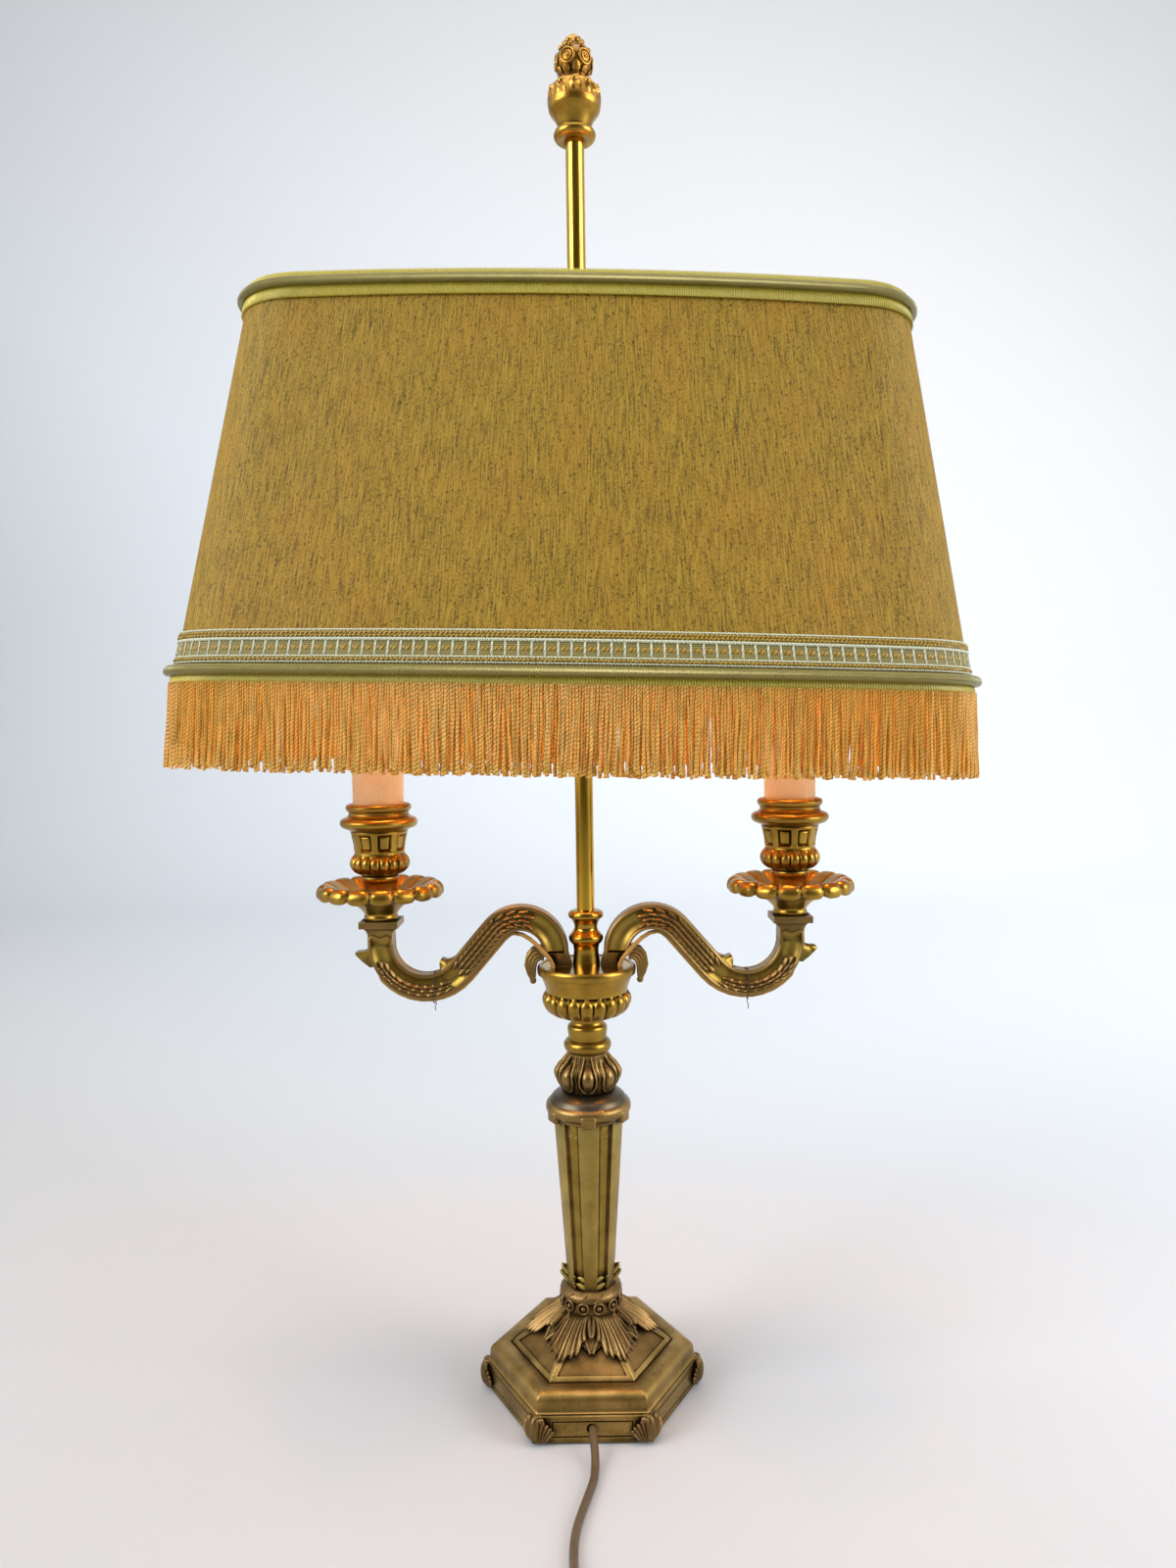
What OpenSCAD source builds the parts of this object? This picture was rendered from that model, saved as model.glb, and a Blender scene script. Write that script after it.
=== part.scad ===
/* [Base] */
// Radius of the plinth's hexagon, corner to centre
base_r = 60; // [56:0.5:64]
// Height of the plinth's upright faces
plinth_h = 14.3; // [12:0.1:18]
// Thickness of the felt under the base
felt_t = 1.2; // [0.8:0.1:2]
// Distance of the felt's edge inside the plinth's edge
felt_inset = 1.6; // [1:0.1:3]
// Wall of the hollow base casting
base_wall = 3; // [2:0.25:4]
// Thickness of the steel plate inside the base
plate_t = 1.2; // [0.8:0.1:2]
// Height of the hollow lower face of the shoulder above the plinth
cove_r = 5.2; // [4:0.1:6]
// Depth of that hollow
cove_depth = 1.4; // [1:0.1:3]
// Radius of the rounded shoulder above the cove
shoulder_r = 5.3; // [3:0.1:6.5]
// Distance of the raised frame inside the plinth's faces
frame_inset = 12.75; // [11.5:0.05:14.5]
// Height of the raised hexagonal frame's edge
frame_h = 2.9; // [2:0.1:4]
// Rise of the pyramid from the frame to its top
pyramid_rise = 20.2; // [17:0.1:23]
// Half width across flats of the pyramid's flat top
pyramid_top = 14; // [12.5:0.25:16]
// Width of the rails round each sunk panel of the pyramid
rail_w = 3.6; // [2.5:0.1:5]
// Depth of the sunk panels
panel_depth = 0.9; // [0.5:0.1:1.2]
// Width of each plinth panel
plinth_panel_w = 42.8; // [36:0.2:44]
// Width of the groove round a plinth panel
groove_w = 1.2; // [0.8:0.1:1.6]
// Margin between a plinth panel and the plinth's edges
plinth_margin = 2.7; // [2:0.1:3.5]
// Largest radius of each corner ornament
corner_r = 7.4; // [6.5:0.1:8.5]
// Diameter of the cord's hole
cord_hole_d = 5.3; // [5:0.1:6.5]
// Height of the cord's hole above the plinth's lower edge
cord_hole_z = 8.5; // [7:0.1:10]

/* [Leaf collar] */
// Height of the leaf collar between pyramid and column
collar_h = 15; // [12:0.5:18]
// Radius of the collar's upper torus
collar_r = 17.5; // [16:0.25:19]
// Number of rosettes round the collar
rosette_count = 12; // [8:1:14]
// Radius of a rosette
rosette_r = 2.6; // [2:0.1:3]
// Thickness of the acanthus leaves
leaf_t = 2.4; // [1.6:0.1:3]
// Reach of the large leaves from the axis
leaf_reach = 38; // [32:0.5:42]
// Width of a large leaf
leaf_w = 19; // [14:0.5:21]

/* [Column] */
// Height of the tapered column
column_h = 95.5; // [80:0.5:110]
// Radius over the pilasters at the column's foot
column_r0 = 12.8; // [12:0.1:14]
// Radius over the pilasters at the column's head
column_r1 = 19; // [17:0.1:20]
// Width of a pilaster at its foot
pilaster_w0 = 7.5; // [6:0.1:9]
// Width of a pilaster at its head
pilaster_w1 = 11.5; // [9:0.1:13]
// Depth of the sunk fields between pilasters
field_depth = 1.3; // [0.8:0.1:1.8]
// Wall of the hollow column
column_wall = 3; // [2.5:0.1:4]
// Thickness of the column's closed ends
column_end = 5; // [3:0.5:8]
// Height of the capital
capital_h = 15.6; // [13:0.2:18]
// Radius of the capital's ring
capital_r = 23.85; // [22:0.1:25]
// Width of a keystone tab
keystone_w = 8; // [6:0.1:10]
// Height of the egg-carved knop
knop_h = 21; // [18:0.5:24]
// Radius of the knop over its eggs
knop_r = 19.4; // [17.5:0.1:21]
// Number of eggs round the knop
egg_count = 8; // [6:1:10]
// Height of the turned neck under the cup
neck_h = 19.9; // [16:0.1:24]
// Radius of the neck's large ring
neck_r = 13.25; // [12:0.1:15]

/* [Cup] */
// Height of the urn cup from the neck to its rim
cup_h = 29.3; // [26:0.1:34]
// Radius of the cup's rim
cup_r = 27.4; // [26.5:0.1:29]
// Radius over the cup's lobes
lobe_r = 24.85; // [23.5:0.1:26]
// Number of lobes round the cup
lobe_count = 20; // [16:1:24]
// Wall of the cup
cup_wall = 2.3; // [1.8:0.1:3]
// Thickness of the disc in the cup's mouth
disc_t = 1.8; // [1.2:0.1:2.5]
// Distance of the wire holes from the lamp's axis, across
wire_hole_x = 18.5; // [18.3:0.1:19]
// Depth that the disc lies under the rim
disc_sink = 0.4; // [0.2:0.1:0.8]

/* [Tie and stem] */
// Outer diameter of the threaded tie tube
tie_d = 9.9; // [9.8:0.05:10]
// Wall of the tie tube
tie_wall = 1.35; // [1:0.05:1.6]
// Outer diameter of the stem
stem_d = 10; // [9.9:0.05:10.05]
// Wall of the stem
stem_wall = 1; // [0.8:0.05:1.2]
// Height of the turned collar at the stem's foot
foot_h = 31.2; // [28:0.2:36]
// Radius of the collar's plain foot
foot_r = 7.6; // [7:0.1:7.7]
// Length of the stem above the collar
stem_len = 416.4; // [380:1:440]
// Thickness of the tie's nut
nut_t = 5; // [4:0.5:6]
// Thickness of the tie's washer
washer_t = 2; // [1.5:0.1:3]
// Radial room round the tie tube in each casting
tie_room = 0.25; // [0.15:0.05:0.4]

/* [Arms] */
// Distance of each candle from the lamp's axis
candle_x = 113.8; // [108:0.2:118]
// Radius of the lower curve of an arm
bend_r1 = 24.6; // [23:0.1:26]
// Radius of the upper curve of an arm
bend_r2 = 19.65; // [18.5:0.1:21]
// Distance of the upper curve's centre from the lamp's axis
hump_x = 36.5; // [35.5:0.1:38]
// Height of the upper curve's centre above the disc
hump_z = 7.6; // [7:0.1:10]
// Height of the lower curve's centre above the disc
bend_z = 14.1; // [11:0.1:15]
// Height of an arm's bar in its own plane
arm_w = 13.5; // [12:0.1:14]
// Thickness of an arm's bar
arm_t = 10; // [8:0.1:10.2]
// Width of the raised edge of an arm's bar
arm_edge = 1.6; // [1.2:0.1:2.2]
// Depth of the sunk sides of an arm's bar
arm_sink = 0.9; // [0.5:0.1:1.4]
// Side of the square abacus on an arm's end
abacus_w = 21.4; // [20:0.1:24]
// Height of the abacus
abacus_h = 3.6; // [3:0.1:6]
// Length of an arm's end under the abacus
arm_end = 9.5; // [6:0.1:11]
// Depth that the candle's nipple screws into an arm's end
nipple_drop = 6.6; // [4:0.1:7]
// Direction of the hole where the wire enters an arm, degrees below level
wire_entry = 35; // [30:1:45]
// Diameter of the cloth-covered wire along an arm
wire_d = 2.4; // [2:0.1:2.6]

/* [Candle] */
// Height of the drip pan
pan_h = 12.2; // [11:0.2:16]
// Radius of the drip pan over its petals
pan_r = 34.9; // [32:0.1:37]
// Number of petals of the drip pan
petal_count = 16; // [12:1:18]
// Height of the candle cup
candle_cup_h = 52.4; // [48:0.2:58]
// Radius of the candle cup's large ring
candle_ring_r = 21.25; // [20:0.05:23]
// Outer diameter of the candle sleeve
sleeve_d = 28; // [26.6:0.1:28.4]
// Wall of the candle sleeve
sleeve_wall = 1.6; // [1.2:0.1:2]
// Length of the candle sleeve
sleeve_len = 88; // [86:0.5:95]
// Depth that the sleeve stands in the candle cup
sleeve_seat = 5.6; // [4:0.1:6]
// Outer diameter of the threaded nipple
nipple_d = 9.9; // [9.8:0.05:10]
// Outer diameter of the lampholder
holder_d = 23.2; // [22:0.1:23.4]
// Diameter of the lampholder's socket
socket_d = 14; // [13.9:0.05:14.1]
// Diameter of the bulb's screw cap
bulb_cap_d = 13.8; // [13.6:0.05:13.85]
// Diameter of the bulb's glass
bulb_d = 35; // [33:0.5:38]
// Length of the bulb's glass
bulb_len = 97; // [90:1:105]
// Wall of the bulb's glass
glass_t = 0.9; // [0.6:0.1:1.2]

/* [Finial] */
// Radius of the finial's lower ring
finial_ring_r = 11.2; // [10:0.1:12.5]
// Radius of the finial's bowl
finial_bowl_r = 14.1; // [12.5:0.1:15.5]
// Radius of the finial's upper ball
finial_ball_r = 10.4; // [9.5:0.1:11.5]
// Radius of the finial's bud
finial_bud_r = 5.65; // [5:0.05:6.5]
// Height of the finial above the stem's end ring
finial_h = 51.5; // [49:0.5:56]

/* [Shade] */
// Half width of the shade's cloth at the top
shade_top_hw = 176; // [168:1:184]
// Half depth of the shade's cloth at the top
shade_top_hd = 46.5; // [44:0.5:52]
// Radius of the rounded ends at the top
shade_top_end = 38; // [34:1:42]
// Half width of the shade's cloth at the bottom
shade_foot_hw = 216; // [205:1:225]
// Half depth of the shade's cloth at the bottom
shade_foot_hd = 74; // [70:0.5:82]
// Radius of the rounded ends at the bottom
shade_foot_end = 52; // [46:1:60]
// Height of the cloth
shade_h = 201; // [190:1:212]
// Height of the shade's lower edge above the disc in the cup
shade_z = 156.6; // [150:0.2:165]
// Thickness of the cloth with its backing
cloth_t = 1.2; // [0.8:0.1:1.6]
// Lean of the shade to its right, degrees
shade_lean = 1.55; // [0.5:0.05:1.8]
// Diameter of the shade's ring wires
ring_d = 2.8; // [2.4:0.1:3.2]
// Diameter of the shade's upright wires
strut_d = 2.2; // [1.8:0.1:2.6]
// Diameter of the spokes
spoke_d = 3.2; // [2.6:0.1:3.6]
// Diameter of the upper rope trim
rope_top_d = 6.4; // [5:0.1:7]
// Diameter of the lower rope trim
rope_foot_d = 6.8; // [5:0.1:7.5]
// Thickness of the woven trims
trim_t = 1.2; // [0.8:0.1:1.6]
// Height of the braid above the lower rope
braid_h = 16.5; // [12:0.5:20]
// Height of the gimp under each rope
gimp_h = 3.9; // [3:0.1:6]
// Length of the fringe
fringe_len = 45; // [35:0.5:50]
// Thickness of the fringe
fringe_t = 2.4; // [1.6:0.1:3]

/* [Carrier] */
// Radius of the carrier's body
carrier_r = 9; // [8.5:0.1:10]
// Height of the carrier's body under its flange
carrier_h = 12; // [11:0.5:15]
// Radius of the carrier's flange
flange_r = 13; // [12:0.1:14]
// Thickness of the carrier's flange
flange_t = 2; // [1.5:0.1:3]
// Radius of the carrier's threaded neck
carrier_neck_r = 6.5; // [6.2:0.05:6.8]
// Height of the carrier's threaded neck
carrier_neck_h = 10; // [9:0.5:12]
// Running room of the carrier on the stem
carrier_room = 0.08; // [0.03:0.01:0.1]
// Thickness of the spider's washer
hub_t = 1.6; // [1.2:0.1:2]
// Radius of the spider's washer
hub_r = 15.2; // [14.5:0.1:16]
// Thickness of the ring nut
ring_nut_t = 3; // [2.5:0.1:4]
// Diameter of the clamping screw
clamp_d = 4; // [3.5:0.1:4.5]
// Radius of the clamping screw's head
clamp_head_r = 5; // [4:0.1:5.5]

/* [Cord] */
// Diameter of the cord
cord_d = 4.2; // [4:0.1:4.3]
// Mean radius of the stored coil
coil_r = 23.5; // [22:0.5:26]
// Turns side by side in the coil
coil_wide = 3; // [3:1:4]
// Turns on top of each other in the coil
coil_high = 4; // [3:1:5]
// Length of the switch
switch_len = 56; // [52:1:60]
// Width of the switch
switch_w = 20; // [18:0.5:24]
// Height of the switch
switch_h = 14; // [13:0.5:16]
// Length of the strain relief at each end of the switch
switch_relief = 12; // [8:1:14]
// Length of the rocker
rocker_len = 15; // [12:0.5:18]
// Width of the rocker
rocker_w = 9.4; // [8:0.1:11]
// Tilt of the rocker to either side, degrees
rocker_tilt = 6; // [4:0.5:7]
// Length of the plug's body
plug_len = 36; // [34:1:42]
// Length of the plug's strain relief
plug_relief = 20; // [18:1:30]
// Width of the plug's face
plug_w = 26; // [25:0.5:30]
// Height of the plug's body
plug_h = 14; // [12:0.5:16]
// Diameter of a plug pin
pin_d = 4; // [3.9:0.05:4.1]
// Length of a plug pin
pin_len = 19; // [17:0.5:19.5]
// Distance between the plug's pins
pin_pitch = 18.6; // [18:0.1:19]

/* [Hidden] */
$fn = 48;
eps = 0.01;
SIDES = [-1, 1];

// Heights of the stand, from the surface it stands on upwards
plinth_z = felt_t + plinth_h;
flats = base_r * cos(30);
shoulder_z = plinth_z + 0.2 + cove_r + shoulder_r;
frame_a = flats - frame_inset;
face_a = flats - 0.4 - cove_depth;
frame_z = shoulder_z + 0.1;
pyramid_z = frame_z + pyramid_rise;
column_z = pyramid_z + collar_h;
capital_z = column_z + column_h;
knop_z = capital_z + capital_h;
neck_z = knop_z + knop_h;
cup_z = neck_z + neck_h;
rim_z = cup_z + cup_h;
disc_z = rim_z - disc_sink;
foot_z = disc_z;
stem_z = foot_z + foot_h * 0.45;
stem_top = foot_z + foot_h + stem_len;
tie_bore = tie_d / 2 + tie_room;
wire_y = arm_t / 2 + wire_d / 2 + 0.25;
seat_z = pyramid_z - 3.9;
cord_z = felt_t + cord_hole_z;

// Arm geometry in the lamp's upright plane
bend_x = candle_x - bend_r1;
arm_dx = hump_x - bend_x;
arm_dz = hump_z - bend_z;
arm_dist = sqrt(arm_dx * arm_dx + arm_dz * arm_dz);
link_len = sqrt(arm_dist * arm_dist - pow(bend_r1 + bend_r2, 2));
link_turn = atan2(-arm_dz, -arm_dx) + acos((bend_r1 + bend_r2) / arm_dist);
wire_gap = arm_w / 2 + wire_d / 2 + 0.15;

// Heights of each candle
abacus_z = disc_z + bend_z + arm_end;
pan_z = abacus_z + abacus_h;
candle_z = pan_z + pan_h;
ring_z = candle_z + candle_cup_h;
sleeve_z = ring_z - sleeve_seat;
sleeve_r = sleeve_d / 2;
sleeve_top = sleeve_z + sleeve_len;
holder_z = sleeve_z + 10.6;
holder_top = sleeve_top - 2.4;
socket_z = holder_top - 27;
bulb_z = holder_top + 1;

cup_floor = 16;
cup_well_r = 11.6;
cup_nut_across = 14;
cup_nut_h = 4;
contact_r = 4.6;
contact_t = 1.6;

// Shade geometry before it leans
cloth_z = disc_z + shade_z;
cloth_top = cloth_z + shade_h;
hub_z = cloth_top - 13;
rope_top_z = cloth_top - rope_top_d / 2;
rope_foot_z = cloth_z + rope_foot_d / 2 - 0.4;
shade_end_steps = 7;
shade_side_steps = 7;
flange_z = hub_z - hub_t / 2 - 0.5;
clamp_z = flange_z - flange_t - carrier_h / 2 + 1;
fringe_top = rope_foot_z - rope_foot_d / 2 - gimp_h;
braid_z = rope_foot_z + rope_foot_d / 2 + 0.2;

// Places on the surface in front of the lamp
switch_at = [-8, -166];
coil_at = [19.7, -268];
plug_at = [68, -243.6];
lead_route = [[0, -27, 9.7], [0, -36, 9.7], [0, -45, 9.7], [0.2, -53, 9.5], [0.6, -59, 8.2],
    [1, -64, 6], [1.2, -69, 3.7], [1, -75, 2.3], [0.4, -81, 2.15], [-1.8, -90, 2.15],
    [-4.5, -100, 2.15], [-7, -110, 2.15], [-8.6, -120, 2.15], [-9, -130, 2.2],
    [-8.8, -138, 3.1], [-8.4, -145, 4.9], [-8.1, -150, 6.3], [-8, -154, 7]];
link_route = [[-8, -234, 7], [-8, -239, 6.2], [-8, -245, 4.4], [-8, -250, 3], [-8, -256, 2.25],
    [-8, -261, 2.15], [-8, -266, 2.15]];
end_route = [[43.2, -266, 14.7], [43.3, -260, 14.7], [44.6, -254, 14.4], [47.8, -249.2, 13],
    [52.4, -245.9, 10.8], [57.8, -244.2, 8.6], [63, -243.6, 7.3], [68, -243.6, 7]];

function unit(v) = v / norm(v);
function mirrored(points) = [for (i = [len(points) - 1 : -1 : 0]) [-points[i][0], points[i][1]]];
function arc_points(c, r, a0, a1, steps) =
    [for (i = [0 : steps]) let (a = a0 + (a1 - a0) * i / steps) c + r * [cos(a), sin(a)]];

// Tangent of a route at point i
function heading(path, i) =
    unit(path[min(i + 1, len(path) - 1)] - path[max(i - 1, 0)]);
// Normals carried along a route without twist
function carried(path, i, last) =
    let (t = heading(path, i), n = last - (last * t) * t) unit(n);
function normals(path, i = 0, last = [0, 0, 1]) =
    i >= len(path) ? [] : let (n = carried(path, i, last)) concat([n], normals(path, i + 1, n));

// A round tube along a route, closed at both ends
module tube_along(path, r, up = [0, 0, 1], sides = 8) {
    n = normals(path, 0, up);
    count = len(path);
    points = [for (i = [0 : count - 1])
        let (t = heading(path, i), b = cross(t, n[i]))
        for (k = [0 : sides - 1])
            path[i] + r * (cos(360 * k / sides) * n[i] + sin(360 * k / sides) * b)];
    walls = [for (i = [0 : count - 2], k = [0 : sides - 1])
        let (a = i * sides + k, b = i * sides + (k + 1) % sides)
        for (f = [[a, b, a + sides], [b, b + sides, a + sides]]) [f[2], f[1], f[0]]];
    start = [for (k = [0 : sides - 1]) k];
    end = [for (k = [sides - 1 : -1 : 0]) (count - 1) * sides + k];
    polyhedron(points, concat(walls, [start], [end]), convexity = 10);
}

// Quarter of a four-arc oval: round end first, then the long side
function oval_quarter(hw, hd, re) =
    let (R = (pow(hw - re, 2) + hd * hd - re * re) / (2 * (hd - re)),
        b = atan2(R - hd, hw - re))
    concat(
        [for (i = [0 : shade_end_steps - 1])
            let (a = b * i / shade_end_steps) [hw - re + re * cos(a), re * sin(a)]],
        [for (i = [0 : shade_side_steps - 1])
            let (a = b + (90 - b) * i / shade_side_steps) [R * cos(a), hd - R + R * sin(a)]]);
function oval(hw, hd, re) =
    let (q = oval_quarter(hw, hd, re), n = len(q))
    concat(q, [[0, hd]], [for (i = [n - 1 : -1 : 1]) [-q[i][0], q[i][1]]], [[-hw, 0]],
        [for (i = [1 : n - 1]) [-q[i][0], -q[i][1]]], [[0, -hd]],
        [for (i = [n - 1 : -1 : 1]) [q[i][0], -q[i][1]]]);

// Size of the cloth's outer oval at height z: half width, half depth, end radius
function cloth_size(z) =
    let (t = (z - cloth_z) / shade_h)
    [shade_foot_hw, shade_foot_hd, shade_foot_end] * (1 - t)
        + [shade_top_hw, shade_top_hd, shade_top_end] * t;
function cloth_loop(at, z, out) =
    let (s = cloth_size(at)) [for (p = oval(s[0] + out, s[1] + out, s[2] + out)) [p[0], p[1], z]];

// A closed ring through loops of equal length
module ring_of(loops) {
    n = len(loops[0]);
    m = len(loops);
    faces = [for (j = [0 : m - 1], i = [0 : n - 1])
        let (a = j * n + i, b = j * n + (i + 1) % n, c = ((j + 1) % m) * n + i,
            d = ((j + 1) % m) * n + (i + 1) % n)
        for (f = [[a, c, b], [b, c, d]]) f];
    polyhedron([for (l = loops) for (p = l) p], faces, convexity = 10);
}
// A ring of one cross-section round the shade, its points [distance out of the cloth, height]
module shade_ring(section) {
    ring_of([for (p = section) cloth_loop(p[1], p[1], p[0])]);
}
function band(z0, z1, o0, o1) = [[o1, z0], [o1, z1], [o0, z1], [o0, z0]];
function round_section(z, out, r, sides) = [for (k = [0 : sides - 1])
    let (a = 360 * k / sides) [out + r * cos(a), z + r * sin(a)]];
// A woven band from z0 to z1 with a rope of radius r sewn on it at height z
function roped_band(z0, z1, z, r) = concat([[trim_t, z0]],
    [for (a = [-135 : 45 : 135]) [trim_t + (r - 0.3) + r * cos(a), z + r * sin(a)]],
    [[trim_t, z1], [0.05, z1], [0.05, z0]]);
module leaning() {
    translate([0, 0, hub_z]) rotate([0, shade_lean, 0]) translate([0, 0, -hub_z]) children();
}

// A solid of six equal faces round the axis, from one face's profile of [distance, height]
module six_sided(profile) {
    span = 4 * base_r;
    intersection_for (a = [0, 60, 120])
        rotate([0, 0, a]) rotate([90, 0, 90])
            linear_extrude(height = span, center = true)
                polygon(concat(profile, mirrored(profile)));
}
module turned(points) {
    rotate_extrude($fn = 96) polygon(points);
}
module tube(r_out, r_in, z0, z1) {
    translate([0, 0, z0]) difference() {
        cylinder(r = r_out, h = z1 - z0);
        translate([0, 0, -1]) cylinder(r = r_in, h = z1 - z0 + 2);
    }
}
module hex_nut(across, bore_r, h) {
    difference() {
        cylinder(r = across / 2 / cos(30), h = h, $fn = 6);
        translate([0, 0, -1]) cylinder(r = bore_r, h = h + 2);
    }
}
// A plate standing on its foot with its face towards -Y, wider at its head
module tapered_plate(w0, w1, len, t) {
    rotate([90, 0, 0]) linear_extrude(height = t)
        polygon([[-w0 / 2, 0], [w0 / 2, 0], [w1 / 2, len], [-w1 / 2, len]]);
}

// Base
base_profile = concat(
    [[flats, felt_t], [flats, plinth_z], [flats - 0.9, plinth_z + 0.2],
        [flats - 1.7, plinth_z + 0.3], [flats - 1.7, plinth_z + 0.7]],
    [for (a = [0 : 15 : 90]) [face_a + cove_depth * (1 - sin(a)),
        plinth_z + 0.9 + (cove_r - 0.7) * (1 - cos(a))]],
    arc_points([face_a - shoulder_r, shoulder_z - shoulder_r], shoulder_r, 11, 90, 8),
    [[frame_a + 1.7, shoulder_z], [frame_a + 1.1, frame_z - frame_h],
        [frame_a, frame_z - frame_h], [frame_a, frame_z], [pyramid_top, pyramid_z]]);
base_hollow = [[flats - base_wall, felt_t - 1], [flats - base_wall, plinth_z - 1.5],
    [flats - base_wall - 2.6, plinth_z + 3.8], [flats - base_wall - 6, plinth_z + 5.2],
    [frame_a - 2.2, frame_z - 3.7],
    [pyramid_top - 2, seat_z]];
slope = atan2(pyramid_rise, frame_a - pyramid_top);
slope_len = (frame_a - pyramid_top) / cos(slope);

module felt_pad() {
    color("#20301f") cylinder(r = base_r - felt_inset, h = felt_t, $fn = 6);
}
module base_plate() {
    color("#777a7c") translate([0, 0, felt_t])
        cylinder(r = base_r - (base_wall + 0.3) / cos(30), h = plate_t, $fn = 6);
}
module plinth_groove() {
    h = plinth_h - 2 * plinth_margin;
    translate([0, -flats, felt_t + plinth_h / 2]) difference() {
        cube([plinth_panel_w, 2 * panel_depth, h], center = true);
        cube([plinth_panel_w - 2 * groove_w, 3, h - 2 * groove_w], center = true);
    }
}
module pyramid_panel() {
    w0 = (frame_a - rail_w * cos(slope)) * tan(30) - rail_w;
    w1 = w0 - (slope_len - 2 * rail_w) * cos(slope) * tan(30);
    translate([0, -frame_a, frame_z]) rotate([slope, 0, 0])
        translate([0, rail_w, -panel_depth]) linear_extrude(height = 3)
            polygon([[-w0, 0], [w0, 0], [w1, slope_len - 2 * rail_w],
                [-w1, slope_len - 2 * rail_w]]);
}
module base_cover() {
    color("#7a6535") difference() {
        six_sided(base_profile);
        six_sided(base_hollow);
        for (i = [0 : 5]) rotate([0, 0, 60 * i]) {
            plinth_groove();
            pyramid_panel();
        }
        cylinder(r = tie_bore, h = 3 * pyramid_z);
        translate([0, -flats + base_wall + 1, cord_z]) rotate([90, 0, 0])
            cylinder(d = cord_hole_d, h = base_wall + 3);
    }
}
module corner_ornaments() {
    color("#8a7540") difference() {
        for (i = [0 : 5]) rotate([0, 0, 60 * i]) translate([base_r - 1.2, 0, 0])
            rotate([0, 0, 17]) turned([[0, felt_t + 1], [corner_r * 0.62, felt_t + 1], [corner_r * 0.86, felt_t + 3],
                [corner_r * 0.98, felt_t + 6], [corner_r, felt_t + 8.6],
                [corner_r * 0.9, plinth_z - 2.2], [corner_r * 0.62, plinth_z],
                [corner_r * 0.45, plinth_z + 1.4], [0, plinth_z + 1.8]]);
        six_sided(base_profile);
    }
}

// Leaf outlines, lobed like acanthus, along +X from 0 to 1 with half width 1
leaf_half = [[0, 0.3], [0.18, 0.5], [0.3, 0.44], [0.42, 0.74], [0.52, 0.64], [0.66, 0.98],
    [0.74, 0.82], [0.87, 0.9], [0.89, 0.52], [1, 0.34], [0.97, 0]];
module leaf_plate(len, w, t) {
    linear_extrude(height = t)
        polygon(concat([for (p = leaf_half) [p[0] * len, p[1] * w / 2]],
            [for (i = [len(leaf_half) - 2 : -1 : 0])
                [leaf_half[i][0] * len, -leaf_half[i][1] * w / 2]]));
}
module leaf_collar() {
    hip = atan2(pyramid_rise, (frame_a - pyramid_top) / cos(30));
    start = pyramid_top + 0.5;
    top = collar_h;
    color("#8a7540") difference() {
        union() {
            translate([0, 0, pyramid_z]) turned([[0, 0], [collar_r - 2.4, 0],
                [collar_r - 1.2, 2.4], [collar_r - 1, 5.4], [collar_r - 1.6, 8.2],
                [collar_r - 0.6, 9], [collar_r, 10.6], [collar_r - 0.4, 12.2],
                [collar_r - 2, top - 1.2], [column_r0 + 1, top], [0, top]]);
            for (i = [0 : rosette_count - 1])
                rotate([0, 0, 360 * (i + 0.5) / rosette_count])
                    translate([collar_r - 1.2, 0, pyramid_z + 6.6])
                        sphere(r = rosette_r, $fn = 20);
            for (i = [0 : 5]) {
                rotate([0, 0, 60 * i])
                    translate([start, 0, pyramid_z + 0.6]) rotate([0, hip, 0])
                        leaf_plate((leaf_reach - start) / cos(hip), leaf_w, leaf_t);
                rotate([0, 0, 60 * i + 30])
                    translate([start - 1, 0, pyramid_z]) rotate([0, slope, 0])
                        leaf_plate((leaf_reach - start) * 0.9, leaf_w * 0.62, leaf_t);
            }
        }
        six_sided(base_profile);
        cylinder(r = tie_bore, h = 3 * column_z);
    }
}

// Column, capital, knop and neck
taper = atan2(column_r1 - column_r0, column_h);
module column() {
    core0 = column_r0 - field_depth;
    core1 = column_r1 - field_depth;
    color("#7a6535") translate([0, 0, column_z]) difference() {
        union() {
            cylinder(r1 = core0, r2 = core1, h = column_h);
            intersection() {
                for (i = [0 : 5]) rotate([0, 0, 60 * i])
                    translate([0, -column_r0 + 3, 0]) rotate([taper, 0, 0]) translate([0, 0, -1])
                        tapered_plate(pilaster_w0, pilaster_w1, column_h + 3, 3);
                cylinder(r = 2 * column_r1, h = column_h);
            }
            for (i = [0 : 5]) rotate([0, 0, 60 * i + 30])
                translate([0, -core0 + 2.4, 7]) rotate([taper, 0, 0])
                    tapered_plate(core0 * 0.28, core1 * 0.28, column_h - 14, 2.8);
        }
        translate([0, 0, column_end]) cylinder(r1 = core0 - column_wall,
            r2 = core1 - column_wall, h = column_h - 2 * column_end);
        translate([0, 0, -1]) cylinder(r = tie_bore, h = column_h + 2);
    }
}
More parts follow.
